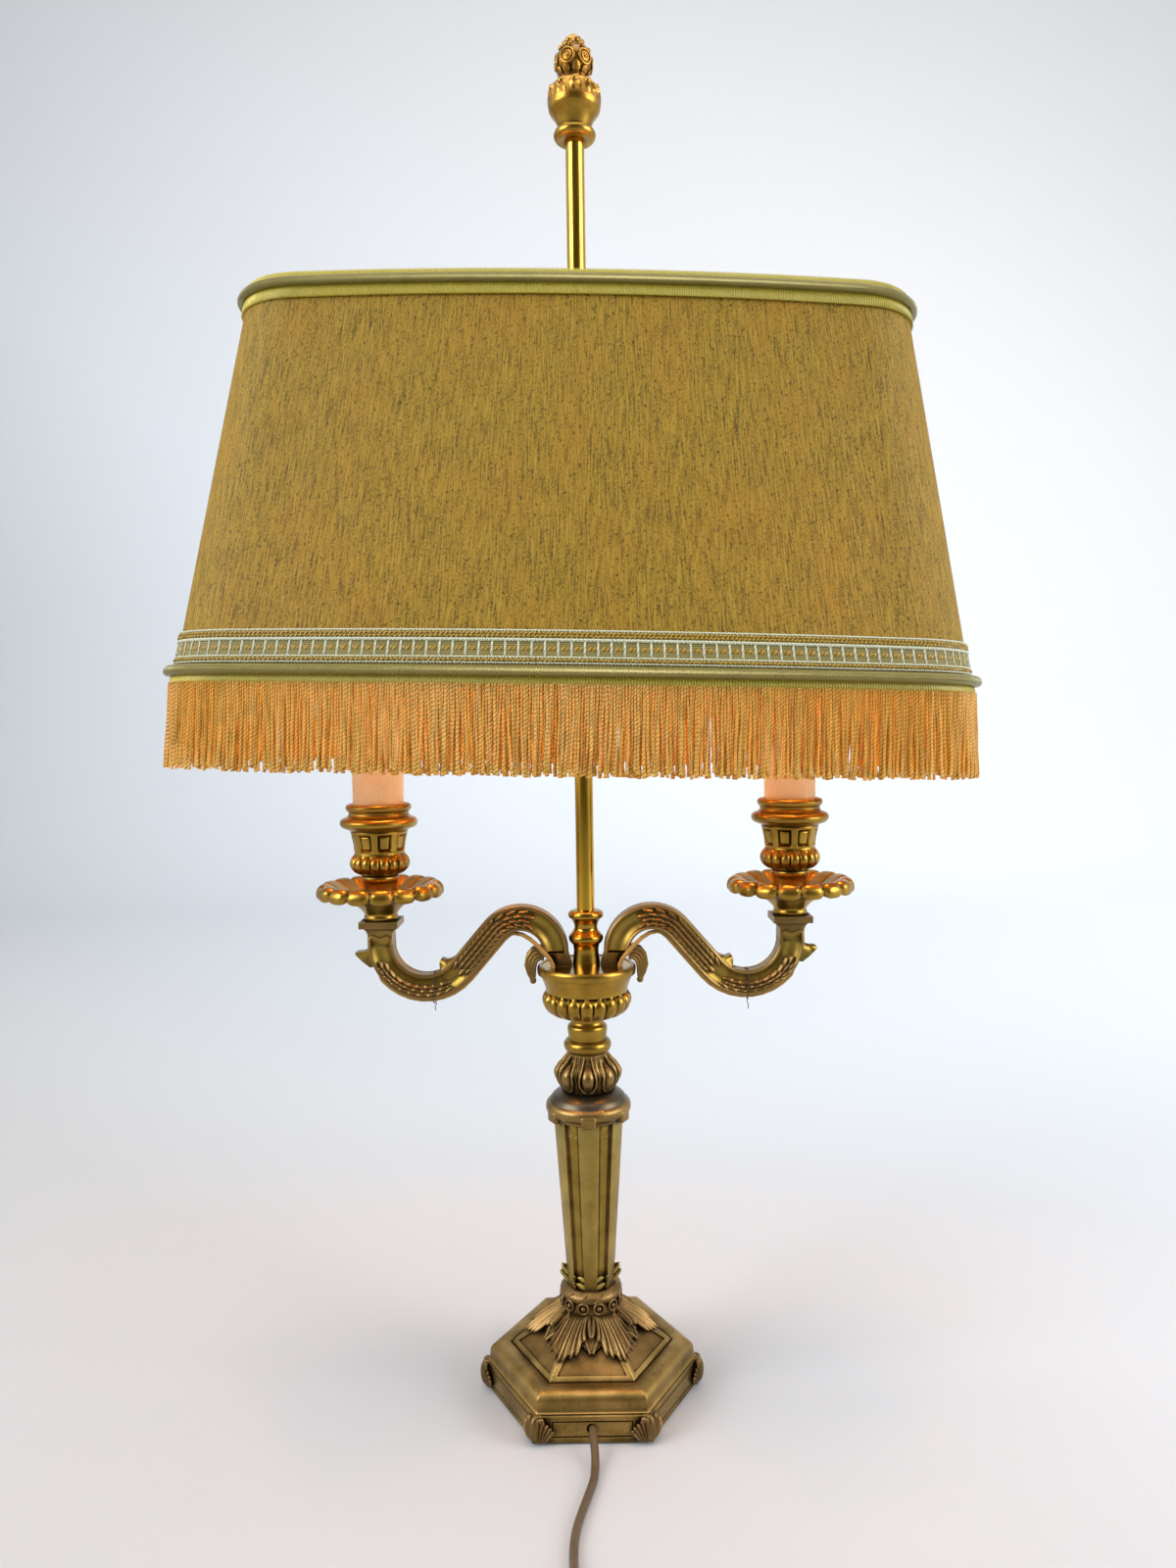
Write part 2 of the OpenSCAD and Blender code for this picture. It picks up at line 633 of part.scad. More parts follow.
module capital() {
    h = capital_h;
    color("#6d5c38") translate([0, 0, capital_z]) difference() {
        union() {
            turned([[0, 0], [column_r1 + 0.4, 0], [column_r1 + 1.2, 1.6], [capital_r - 1.6, 3],
                [capital_r - 0.3, 4.2], [capital_r, 6], [capital_r - 0.3, 7.8],
                [capital_r - 1.4, 9.2], [capital_r - 2, 9.4], [capital_r - 2.6, 10.4],
                [capital_r - 4, h - 3.2], [capital_r - 6.6, h - 1.4], [capital_r - 10.4, h],
                [0, h]]);
            for (i = [0 : 5]) rotate([0, 0, 60 * i])
                translate([0, -capital_r + 4, 0.6]) tapered_plate(keystone_w - 1,
                    keystone_w, 8, 4.6);
        }
        translate([0, 0, -1]) cylinder(r = tie_bore, h = h + 2);
    }
}
module knop() {
    h = knop_h;
    r = knop_r - 1.6;
    egg = knop_r * 0.34;
    color("#7a6535") translate([0, 0, knop_z]) difference() {
        union() {
            turned([[0, 0], [knop_r * 0.68, 0], [r * 0.86, h * 0.14], [r * 0.98, h * 0.32],
                [r, h * 0.5], [r * 0.9, h * 0.66], [r * 0.74, h * 0.8], [r * 0.66, h * 0.92],
                [r * 0.63, h], [0, h]]);
            for (i = [0 : egg_count - 1]) rotate([0, 0, 360 * i / egg_count])
                translate([0, -knop_r + egg, h * 0.42]) sphere(r = egg);
        }
        translate([0, 0, -1]) cylinder(r = tie_bore, h = h + 2);
    }
}
module neck_ring() {
    h = neck_h;
    color("#9c8238") translate([0, 0, neck_z]) difference() {
        turned([[0, 0], [neck_r - 2, 0], [neck_r - 0.8, 1.4], [neck_r, 3.2], [neck_r, 5],
            [neck_r - 0.9, 6.6], [neck_r - 2.6, 7.4], [neck_r - 2.6, 9.2], [neck_r - 2.4, 10.4],
            [neck_r - 2.4, h - 5], [neck_r - 3.6, h - 3.8], [neck_r - 4.2, h - 2],
            [neck_r - 3.4, h], [0, h]]);
        translate([0, 0, -1]) cylinder(r = tie_bore, h = h + 2);
    }
}

// Urn cup and its disc
module urn_cup() {
    h = cup_h;
    belly = lobe_r - 0.3;
    groove_r = 1.1;
    color("#8f7736") translate([0, 0, cup_z]) difference() {
        turned([[0, 0], [neck_r - 3.2, 0], [belly * 0.6, 0.8], [belly * 0.8, 2.4],
            [belly * 0.93, 5.2], [belly * 0.99, 8], [belly, 10.6], [belly * 0.975, 12.8],
            [belly - 1.6, 14.4], [cup_r - 1.8, h - 5.2], [cup_r - 0.2, h - 4.6],
            [cup_r, h - 3.6], [cup_r, h - 1.2], [cup_r - 0.7, h], [0, h]]);
        for (i = [0 : lobe_count - 1]) rotate([0, 0, 360 * i / lobe_count]) {
            translate([lobe_r + 0.5, 0, 7.6]) cylinder(r = groove_r, h = 6.4, $fn = 16);
            translate([lobe_r + 0.5, 0, 7.6]) rotate([0, -146, 0])
                cylinder(r = groove_r, h = 14, $fn = 16);
        }
        translate([0, 0, h - disc_sink - disc_t])
            cylinder(r = cup_r - 2.6, h = disc_t + disc_sink + 1);
        turned([[0, 4], [belly * 0.68 - 1, 4], [belly - cup_wall - 2, 7.5],
            [belly - cup_wall - 1.2, 13], [cup_r - cup_wall - 2.4, h - 4.4],
            [cup_r - cup_wall - 2.4, h - 1], [0, h - 1]]);
        translate([0, 0, -1]) cylinder(r = tie_bore, h = h);
    }
}
module cup_disc() {
    color("#b08f3e") translate([0, 0, disc_z - disc_t]) difference() {
        cylinder(r = cup_r - 2.7, h = disc_t, $fn = 96);
        translate([0, 0, -1]) cylinder(r = tie_bore, h = disc_t + 2);
        for (s = SIDES) {
            translate([s * wire_hole_x, -wire_y, -1])
                cylinder(d = wire_d + 0.8, h = disc_t + 2);
            translate([s * screw_x, 0, -1]) cylinder(r = screw_r + 0.15, h = disc_t + 2);
        }
    }
}

// Tie tube, its nuts, and the stem
screw_x = 12.2;
screw_r = 1.5;
module tie_tube() {
    color("#8a8c8e") difference() {
        tube(tie_d / 2, tie_d / 2 - tie_wall, seat_z - washer_t - nut_t - 4, stem_z - 0.3);
        translate([-tie_d, 0, cup_z + 15.6]) rotate([0, 90, 0])
            cylinder(r = 2.5, h = 2 * tie_d);
    }
}
module tie_nuts() {
    color("#8a8c8e") {
        tube(pyramid_top - 3.4, tie_d / 2 + 0.1, seat_z - washer_t, seat_z);
        translate([0, 0, seat_z - washer_t - nut_t]) hex_nut(16, tie_d / 2 + 0.02, nut_t);
    }
}
module stem_collar() {
    h = foot_h;
    r = foot_r;
    color("#b2923f") translate([0, 0, foot_z]) difference() {
        turned([[0, 0], [r, 0], [r, h * 0.38], [r + 0.6, h * 0.4], [r + 1.8, h * 0.46],
            [r + 1.8, h * 0.53], [r + 0.6, h * 0.58], [r - 1.1, h * 0.67], [r - 0.7, h * 0.76],
            [r + 0.8, h * 0.84], [r + 2.05, h * 0.875], [r + 2.05, h * 0.945],
            [r + 1, h * 0.98], [r - 1.2, h], [0, h]]);
        translate([0, 0, -1]) cylinder(r = tie_d / 2 + 0.03, h = stem_z - foot_z + 1);
        translate([0, 0, stem_z - foot_z - 0.2])
            cylinder(r = stem_d / 2 + 0.03, h = h);
    }
}
module stem_tube() {
    color("#a5903c") tube(stem_d / 2, stem_d / 2 - stem_wall, stem_z, stem_top);
}

// Finial, screwed into the stem's end
module finial_ring() {
    r = finial_ring_r;
    thread_r = stem_d / 2 - stem_wall - 0.05;
    color("#b08f3e") translate([0, 0, stem_top]) {
        difference() {
            turned([[0, -2.6], [r - 2.8, -2.6], [r - 1, -2], [r, -0.4], [r, 1],
                [r - 1, 2.8], [r - 3, 3.8], [r - 3.6, 4], [0, 4]]);
            translate([0, 0, -5]) cylinder(r = stem_d / 2 + 0.08, h = 5.1);
        }
        translate([0, 0, -14]) cylinder(r = thread_r, h = 15);
    }
}
module finial_body() {
    bowl = finial_bowl_r;
    ball = finial_ball_r;
    bud = finial_bud_r;
    h = finial_h;
    color("#8f7736") translate([0, 0, stem_top]) {
        turned([[0, 4], [finial_ring_r - 2.8, 4], [bowl - 3.2, h * 0.18], [bowl - 0.6, h * 0.25],
            [bowl, h * 0.3], [bowl - 0.4, h * 0.37], [bowl - 1.2, h * 0.44],
            [bowl - 1.4, h * 0.49], [bowl - 3.6, h * 0.52], [bowl - 6, h * 0.58],
            [ball - 3.2, h * 0.62], [ball - 1, h * 0.66], [ball, h * 0.73],
            [ball - 0.8, h * 0.79], [ball - 3, h * 0.85], [bud + 0.4, h * 0.875],
            [bud, h * 0.94], [bud - 1.6, h * 0.985], [bud - 4, h], [0, h]]);
        for (i = [0 : 9]) rotate([0, 0, 36 * i])
            translate([bowl - 2.6, 0, h * 0.44]) sphere(r = 2.4, $fn = 20);
    }
}

// Arms: two arcs and a straight between them, all of one sunk-sided bar
module bar_section() {
    h = arm_w / 2;
    t = arm_t / 2;
    e = h - arm_edge;
    s = t - arm_sink;
    polygon([[-h, -t], [-e, -t], [-e, -s], [e, -s], [e, -t], [h, -t],
        [h, t], [e, t], [e, s], [-e, s], [-e, t], [-h, t]]);
}
module bar_arc(r, a0, a1) {
    rotate([0, 0, a0]) rotate_extrude(angle = a1 - a0, $fn = 96)
        translate([r, 0]) bar_section();
}
module flat_plate(points, t) {
    translate([0, 0, -t / 2]) linear_extrude(height = t) polygon(points);
}
module arm_bar() {
    t1 = link_turn - 180;
    translate([bend_x, bend_z]) bar_arc(bend_r1, t1, 0);
    translate([bend_x + bend_r1 * cos(t1), bend_z + bend_r1 * sin(t1)])
        rotate([0, 0, link_turn]) rotate([-90, 0, 0]) translate([0, 0, -eps])
            linear_extrude(height = link_len + 2 * eps) bar_section();
    translate([hump_x, hump_z]) bar_arc(bend_r2, link_turn, 180);
}
// The arm in its own plane: X outwards, Y up from the disc, Z across
module arm_shape() {
    inner = hump_x - bend_r2;
    h = arm_w / 2;
    top = bend_z + arm_end;
    difference() {
        union() {
            arm_bar();
            flat_plate([[foot_r + 0.2, 0], [inner + 0.6, 0], [inner + 3, 2.4],
                [inner + h, hump_z], [inner - h, hump_z]], arm_t);
            flat_plate([[candle_x - h, bend_z - 1], [candle_x + h, bend_z - 1],
                [candle_x + h, top - 4], [candle_x + h + 0.9, top - 2],
                [candle_x + h + 2.6, top - 0.5], [candle_x + h + 2.6, top + eps],
                [candle_x - h - 2.6, top + eps], [candle_x - h - 2.6, top - 0.5],
                [candle_x - h - 0.9, top - 2], [candle_x - h, top - 4]], arm_t + 2);
            translate([candle_x, top + abacus_h / 2, 0])
                cube([abacus_w, abacus_h, abacus_w], center = true);
            // curled leaf on the outer side of the lower curve
            translate([bend_x, bend_z]) flat_plate([for (p = [[-26, 28], [-23.4, 33.6],
                [-17, 36], [-12, 38], [-8.6, 39.4], [-7, 39], [-7.4, 35.6], [-6.8, 33], [-7, 29]])
                (p[1] - 31.3 + bend_r1 + h) * [cos(p[0]), sin(p[0])]], arm_t * 0.7);
            // curled leaf on the inner side of the lower curve
            translate([bend_x, bend_z]) flat_plate([for (p = [[-150, 21], [-156, 18.9], [-146, 16.9],
                [-139, 15.6], [-135.5, 13.4], [-132.5, 12.6], [-128, 12.8], [-123.5, 13.9],
                [-120, 15.5], [-118, 17.4], [-117, 20], [-125, 21]])
                (p[1] - 17.8 + bend_r1 - h) * [cos(p[0]), sin(p[0])]], arm_t * 0.8);
            // scrolled leaf that hangs outside the cup's rim
            flat_plate([[inner + 6, hump_z + 1.5], [inner + 9, hump_z + 2.8],
                [cup_r + 4.6, hump_z - 0.2], [cup_r + 6.4, hump_z - 3.2],
                [cup_r + 6.6, hump_z - 7.4], [cup_r + 5.4, hump_z - 11.6],
                [cup_r + 3.6, hump_z - 15.4], [cup_r + 1.8, hump_z - 15.4],
                [cup_r + 1.2, hump_z - 13], [cup_r + 1.6, hump_z - 9],
                [cup_r + 0.9, hump_z - 5.6], [inner + 7, hump_z - 3]], arm_t * 0.86);
            translate([cup_r + 2.5, hump_z - 16.2, 0]) sphere(r = 1.7);
        }
        // bore for the candle's nipple
        translate([candle_x, top + abacus_h + 1, 0]) rotate([90, 0, 0])
            cylinder(d = nipple_d + 0.1, h = nipple_drop + abacus_h + 1.1);
        // narrower hole from there down to the wire's hole
        translate([candle_x, top, 0]) rotate([90, 0, 0])
            cylinder(r = wire_d / 2 + 1.6, h = arm_end + bend_r1 * sin(wire_entry));
        // blind hole for the screw from under the disc
        translate([screw_x, -1, 0]) rotate([-90, 0, 0]) cylinder(r = screw_r + 0.05, h = 9.4);
        // hole where the wire goes into the arm
        translate([bend_x, bend_z]) rotate([0, 0, -wire_entry])
            translate([bend_r1, 0, 0]) rotate([0, 90, 0])
                cylinder(r = wire_d / 2 + 0.8, h = arm_w);
    }
}
module arm(side) {
    color("#86703a") translate([0, 0, disc_z]) rotate([0, 0, side > 0 ? 0 : 180])
        rotate([90, 0, 0]) arm_shape();
}
module arm_screws() {
    color("#8a8c8e") for (s = SIDES) translate([s * screw_x, 0, disc_z - disc_t]) {
        translate([0, 0, -2.2]) cylinder(r = 2.9, h = 2.2);
        cylinder(r = screw_r, h = disc_t + 8);
    }
}

// Drip pan, candle cup, sleeve and what they hold
module drip_pan(side) {
    h = pan_h;
    r = pan_r;
    petal = r * 0.21;
    color("#9a7d35") translate([side * candle_x, 0, pan_z]) difference() {
        intersection() {
            turned([[0, 0], [9, 0], [9.4, 1.6], [9, 3.4], [10, 5], [12.6, 7.6],
                [r - 19, h - 1.8], [r - 15, h + 0.4], [r - 9, h + 2.2], [r - 4.4, h + 1.6],
                [r - 1.8, h + 0.8], [r - 0.3, h + 1.6], [r, h + 4], [r - 0.7, h + 6.4],
                [r - 2.5, h + 8.2], [r - 4.5, h + 8.8], [r - 7.3, h + 8], [r - 11.5, h + 5.4],
                [r - 16.3, h + 2.6], [13.4, h + 0.4], [12, h], [0, h]]);
            translate([0, 0, -1]) linear_extrude(height = 2 * h) {
                circle(r = r - petal * 0.6);
                for (i = [0 : petal_count - 1]) rotate(360 * (i + 0.5) / petal_count)
                    translate([r - petal, 0]) circle(r = petal);
            }
        }
        translate([0, 0, -1]) cylinder(d = nipple_d + 0.2, h = 2 * h);
    }
}
module candle_cup(side) {
    h = candle_cup_h;
    r = candle_ring_r;
    lobe = 3.2;
    color("#8f7736") translate([side * candle_x, 0, candle_z]) difference() {
        union() {
            turned([[0, 0], [9.2, 0], [9.2, 8.4], [10.15, 10.2], [10.15, 12.2], [9.6, 13],
                [13.4, 14.6], [15.2, 17.6], [15.4, 21], [14.4, 24], [13.7, 25.4], [15.4, 37.6],
                [17, 38.4], [r - 0.7, 40.2], [r, 42.1], [r - 0.7, 44], [r - 2.4, 45],
                [r - 2.8, 45.8], [r - 3.6, h - 4.4], [r - 3.8, h - 3.6], [r - 3.3, h - 2],
                [r - 3.8, h - 0.5], [r - 4.8, h], [0, h]]);
            for (i = [0 : 17]) rotate([0, 0, 20 * i + 10])
                translate([17 - lobe, 0, 19.4]) sphere(r = lobe, $fn = 20);
        }
        for (i = [0 : 7]) rotate([0, 0, 45 * i + 22.5])
            translate([16.2, 0, 31.4]) cube([4.2, 7.6, 8.4], center = true);
        translate([0, 0, h - sleeve_seat]) cylinder(r = sleeve_r + 0.15, h = sleeve_seat + 1);
        translate([0, 0, cup_floor]) cylinder(r = cup_well_r, h = h);
        translate([0, 0, -1]) cylinder(d = nipple_d + 0.2, h = h);
    }
}
module sleeve(side) {
    color("#e8c99a") translate([side * candle_x, 0, 0])
        tube(sleeve_r, sleeve_r - sleeve_wall, sleeve_z, sleeve_top);
}
module nipple(side) {
    color("#8a8c8e") translate([side * candle_x, 0, 0])
        tube(nipple_d / 2, nipple_d / 2 - 1.2, abacus_z - nipple_drop, holder_z + 8);
}
module cup_nuts() {
    color("#8a8c8e") for (s = SIDES) translate([s * candle_x, 0, candle_z + cup_floor])
        hex_nut(cup_nut_across, nipple_d / 2 + 0.05, cup_nut_h);
}
module lampholder(side) {
    r = holder_d / 2;
    color("#d9cfb8") translate([side * candle_x, 0, 0]) difference() {
        union() {
            translate([0, 0, holder_z]) cylinder(r = r, h = holder_top - holder_z);
            translate([0, 0, holder_top - 3])
                cylinder(r = sleeve_r - sleeve_wall - 0.2, h = 3);
        }
        translate([0, 0, holder_z - 1]) cylinder(d = nipple_d + 0.1, h = 10);
        translate([0, 0, holder_z]) cylinder(r = 3.4, h = holder_top - holder_z);
        translate([0, 0, socket_z]) cylinder(d = socket_d, h = holder_top);
    }
}
module holder_contacts() {
    color("#b08f3e") for (s = SIDES) translate([s * candle_x, 0, socket_z])
        cylinder(r = contact_r, h = contact_t);
}
module bulb_cap(side) {
    color("#a9abad") translate([side * candle_x, 0, 0]) {
        translate([0, 0, socket_z + 3.4]) cylinder(d = bulb_cap_d, h = bulb_z - socket_z - 3.4);
        translate([0, 0, socket_z + 1.8]) cylinder(r = 3, h = 2);
    }
}
module bulb_glass(side) {
    r = bulb_d / 2;
    h = bulb_len;
    outer = [[bulb_cap_d / 2 - 0.4, 0], [r * 0.52, h * 0.07], [r * 0.82, h * 0.17],
        [r * 0.97, h * 0.28], [r, h * 0.38], [r * 0.93, h * 0.5], [r * 0.76, h * 0.64],
        [r * 0.52, h * 0.78], [r * 0.29, h * 0.9], [r * 0.12, h * 0.97], [0, h]];
    inner = [for (p = outer) [max(p[0] - glass_t, 0), p[1] * (h - 2 * glass_t) / h + glass_t]];
    color("#fff1cf") translate([side * candle_x, 0, bulb_z]) difference() {
        turned(concat([[0, 0]], outer));
        turned(concat([[0, glass_t]], inner));
    }
}

// Wires and leads that the lamp holds along their way
function on_arm(c, r, a) = [c[0] + r * cos(a), 0, c[1] + r * sin(a)];
wire_bend = [bend_x, disc_z + bend_z];
wire_hump = [hump_x, disc_z + hump_z];
arm_wire_route = concat(
    [[15.4, -1.4, cup_z + 20.5], [16.6, -4, cup_z + 22.8],
        [wire_hole_x, -wire_y, disc_z - disc_t - 1.2], [wire_hole_x, -wire_y, disc_z + 1.4],
        [20, -wire_y, disc_z + 4.6], [23, -wire_y, disc_z + 8.2], [27, -5.6, disc_z + 12.4],
        [31, -4, disc_z + 15.6], [35.4, -2.2, disc_z + 17.9], [39.8, -0.7, disc_z + 18.5]],
    [for (a = [62, link_turn]) on_arm(wire_hump, bend_r2 - wire_gap, a)],
    [for (a = [link_turn - 180 : 11 : -wire_entry - 12]) on_arm(wire_bend, bend_r1 + wire_gap, a)],
    [on_arm(wire_bend, bend_r1 + wire_gap, -wire_entry - 5),
        on_arm(wire_bend, bend_r1 + wire_gap - 0.6, -wire_entry - 1.5),
        on_arm(wire_bend, bend_r1 + wire_gap - 2.6, -wire_entry),
        on_arm(wire_bend, bend_r1 + wire_gap - 5.4, -wire_entry)]);
module arm_wire(side) {
    color("#b58a2c") rotate([0, 0, side > 0 ? 0 : 180])
        tube_along([for (p = arm_wire_route) [p[0], side * p[1], p[2]]], wire_d / 2, [0, 1, 0]);
}
lead_r = 1;
inner_route = [[3, -13, cord_z], [3, -8, cord_z + 1.4], [2.5, -3, cord_z + 7],
    [1.8, 0, cord_z + 15], [1.8, 0, seat_z], [1.8, 0, cup_z], [1.8, 0, cup_z + 8.5],
    [2.3, 0, cup_z + 13], [3.9, 0, cup_z + 15.5], [6.2, 0, cup_z + 17],
    [8.8, 0, cup_z + 20], [11, 0, cup_z + 22], [12.8, 0, cup_z + 21.8], [13.5, 0, cup_z + 19.9]];
module inner_leads() {
    color("#6b4d2a") for (s = SIDES)
        tube_along([for (p = inner_route) [s * p[0], p[1], p[2]]], lead_r, [1, 0, 0]);
}
module splice_caps() {
    color("#d8d2c0") for (s = SIDES) translate([s * 14.5, -0.6, cup_z + 9.6])
        cylinder(r = 2.7, h = 10);
}
module terminal_block() {
    h = 13;
    color("#e4dfd2") difference() {
        translate([-8, -27, felt_t + plate_t]) cube([16, 14, h]);
        for (s = SIDES) translate([s * 4, -20, felt_t + plate_t + h - 3])
            cylinder(r = 1.8, h = 4);
    }
}

// What carries the shade on the stem
module shade_carrier() {
    color("#a5903c") translate([0, 0, flange_z]) difference() {
        union() {
            translate([0, 0, -flange_t - carrier_h]) cylinder(r = carrier_r, h = carrier_h + 0.5);
            translate([0, 0, -flange_t]) cylinder(r = flange_r, h = flange_t);
            translate([0, 0, -0.5]) cylinder(r = carrier_neck_r, h = carrier_neck_h + 0.5);
        }
        translate([0, 0, -40]) cylinder(r = stem_d / 2 + carrier_room, h = 80);
        translate([0, 0, clamp_z - flange_z]) rotate([-90, 0, 0])
            cylinder(d = clamp_d + 0.1, h = 30);
    }
}
module clamp_screw() {
    color("#b08f3e") translate([0, 0, clamp_z]) rotate([-90, 0, 0]) {
        translate([0, 0, stem_d / 2 + 0.15]) cylinder(d = clamp_d, h = 12);
        translate([0, 0, carrier_r + 3.4]) cylinder(r = clamp_head_r * 0.6, h = 1.6);
        translate([0, 0, carrier_r + 5]) cylinder(r = clamp_head_r, h = 5);
    }
}
module ring_nut() {
    z = hub_z + hub_t / 2 + 0.55;
    color("#b08f3e") tube(flange_r, carrier_neck_r + 0.05, z, z + ring_nut_t);
}
module strut_between(a, b, r) {
    v = b - a;
    translate(a) rotate([0, acos(v[2] / norm(v)), atan2(v[1], v[0])]) cylinder(r = r, h = norm(v));
}
ring_out = -cloth_t - ring_d / 2 - 0.3;
ring_top_z = cloth_top - ring_d / 2 - 0.6;
ring_foot_z = cloth_z + ring_d / 2 + 0.6;
top_loop = cloth_loop(ring_top_z, ring_top_z, ring_out);
foot_loop = cloth_loop(ring_foot_z, ring_foot_z, ring_out);
module shade_wires() {
    n = len(top_loop);
    color("#d9d4c6") leaning() {
        shade_ring(round_section(ring_top_z, ring_out, ring_d / 2, 6));
        shade_ring(round_section(ring_foot_z, ring_out, ring_d / 2, 6));
        for (i = [0 : n / 8 : n - 1])
            strut_between(foot_loop[i], top_loop[i], strut_d / 2);
    }
}
module shade_spider() {
    n = len(top_loop);
    color("#d9d4c6") leaning() {
        for (i = [0 : n / 4 : n - 1]) {
            out = unit([top_loop[i][0], top_loop[i][1], 0]);
            strut_between([0, 0, hub_z] + (hub_r - 1) * out,
                top_loop[i] - (ring_d / 2 + 0.05) * out, spoke_d / 2);
        }
        tube(hub_r, carrier_neck_r + 0.4, hub_z - hub_t / 2, hub_z + hub_t / 2);
    }
}
// Heights at which the trims' edges lie on the cloth
cloth_levels = [cloth_z, rope_foot_z + rope_foot_d / 2, braid_z, braid_z + braid_h,
    (cloth_z + cloth_top) / 2, rope_top_z - rope_top_d / 2 - gimp_h, cloth_top];
module shade_cloth() {
    last = len(cloth_levels) - 1;
    color("#9a7a2c") leaning() shade_ring(concat(
        [for (i = [0 : last]) [-cloth_t, cloth_levels[i]]],
        [for (i = [last : -1 : 0]) [0, cloth_levels[i]]]));
}
module top_trim() {
    r = rope_top_d / 2;
    color("#a79a2e") leaning()
        shade_ring(roped_band(rope_top_z - r - gimp_h, cloth_top, rope_top_z, r));
}
module bottom_braid() {
    color("#d6d8bd") leaning() shade_ring(band(braid_z, braid_z + braid_h, 0.05, trim_t));
}
module bottom_rope() {
    r = rope_foot_d / 2;
    color("#b5a867") leaning()
        shade_ring(roped_band(fringe_top, rope_foot_z + r, rope_foot_z, r));
}
module fringe() {
    color("#c99a45") leaning() ring_of([for (p = band(fringe_top - fringe_len, fringe_top, 0,
        fringe_t)) cloth_loop(cloth_z, p[1], p[0])]);
}

// Cord, coil, switch and plug on the surface in front of the lamp
module cord_lead() {
    color("#4a3a22") tube_along(lead_route, cord_d / 2);
}
module cord_link() {
    color("#4a3a22") tube_along(link_route, cord_d / 2);
}
module cord_end() {
    color("#4a3a22") tube_along(end_route, cord_d / 2);
}
module cord_coil() {
    w = coil_wide * cord_d;
    color("#4a3a22") translate([coil_at[0], coil_at[1], 0]) difference() {
        cylinder(r = coil_r + w / 2, h = coil_high * cord_d, $fn = 96);
        translate([0, 0, -1]) cylinder(r = coil_r - w / 2, h = coil_high * cord_d + 2, $fn = 96);
    }
}
rocker_z = switch_h - 1.6;
// A tapered sleeve round the cord, along -Y from its thick end
module strain_relief(len, r) {
    rotate([90, 0, 0]) cylinder(r1 = r, r2 = cord_d / 2 + 0.8, h = len);
}
module switch_body() {
    end = switch_w / 2;
    color("#3b2f22") translate([switch_at[0], switch_at[1], 0]) difference() {
        union() {
            linear_extrude(height = switch_h) {
                translate([0, -end]) circle(r = end);
                translate([0, -switch_len + end]) circle(r = end);
                translate([-end, -switch_len + end]) square([switch_w, switch_len - switch_w]);
            }
            translate([0, -switch_len + 2, switch_h / 2])
                strain_relief(switch_relief + 2, switch_w / 5);
            translate([0, -2, switch_h / 2]) rotate([0, 0, 180])
                strain_relief(switch_relief + 2, switch_w / 5);
        }
        translate([-rocker_w / 2 - 0.5, -switch_len / 2 - rocker_len / 2 - 1, rocker_z - 5])
            cube([rocker_w + 1, rocker_len + 2, 20]);
        translate([-rocker_w / 2 - 2.6, -switch_len / 2, rocker_z]) rotate([0, 90, 0])
            cylinder(r = 1.25, h = rocker_w + 5.2);
    }
}
module switch_rocker() {
    color("#e7e2d6") translate([switch_at[0], switch_at[1] - switch_len / 2, rocker_z])
        rotate([-rocker_tilt, 0, 0]) {
            cube([rocker_w, rocker_len, 5], center = true);
            translate([-rocker_w / 2 - 2, 0, 0]) rotate([0, 90, 0])
                cylinder(r = 1.2, h = rocker_w + 4);
        }
}
module plug_body() {
    w = plug_w / 2;
    color("#4a3a22") translate(plug_at) rotate([0, 0, -90]) translate([0, plug_relief, 0]) {
        linear_extrude(height = plug_h)
            polygon([[-w, plug_len], [w, plug_len], [w, plug_len - 9], [w * 0.5, plug_len * 0.3],
                [w * 0.36, 0], [-w * 0.36, 0], [-w * 0.5, plug_len * 0.3], [-w, plug_len - 9]]);
        translate([0, 1, plug_h / 2]) strain_relief(plug_relief + 1, w * 0.34);
    }
}
module plug_pins() {
    color("#b9a25a") for (s = SIDES)
        translate([plug_at[0] + plug_relief + plug_len, plug_at[1] + s * pin_pitch / 2,
            plug_h / 2])
            rotate([0, 90, 0]) cylinder(d = pin_d, h = pin_len);
}

felt_pad();
base_plate();
base_cover();
corner_ornaments();
leaf_collar();
column();
capital();
knop();
neck_ring();
urn_cup();
cup_disc();
tie_tube();
tie_nuts();
stem_collar();
stem_tube();
finial_ring();
finial_body();
arm(-1);  // arm_left
arm(1);  // arm_right
arm_screws();
drip_pan(-1);  // drip_pan_left
drip_pan(1);  // drip_pan_right
candle_cup(-1);  // candle_cup_left
candle_cup(1);  // candle_cup_right
sleeve(-1);  // sleeve_left
sleeve(1);  // sleeve_right
nipple(-1);  // nipple_left
nipple(1);  // nipple_right
cup_nuts();
lampholder(-1);  // lampholder_left
lampholder(1);  // lampholder_right
holder_contacts();
bulb_cap(-1);  // bulb_cap_left
bulb_cap(1);  // bulb_cap_right
bulb_glass(-1);  // bulb_glass_left
bulb_glass(1);  // bulb_glass_right
arm_wire(-1);  // arm_wire_left
arm_wire(1);  // arm_wire_right
inner_leads();
splice_caps();
terminal_block();
shade_carrier();
clamp_screw();
ring_nut();
shade_spider();
shade_wires();
shade_cloth();
top_trim();
bottom_braid();
bottom_rope();
fringe();
cord_lead();
switch_body();
switch_rocker();
cord_link();
cord_coil();
cord_end();
plug_body();
plug_pins();
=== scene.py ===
"""Candelabra table lamp: a gilt bronze stand with two candle arms under an oval silk shade.

The lengths in the classes are millimetres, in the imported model's frame, and settle() turns a
finished mesh to metres.
"""

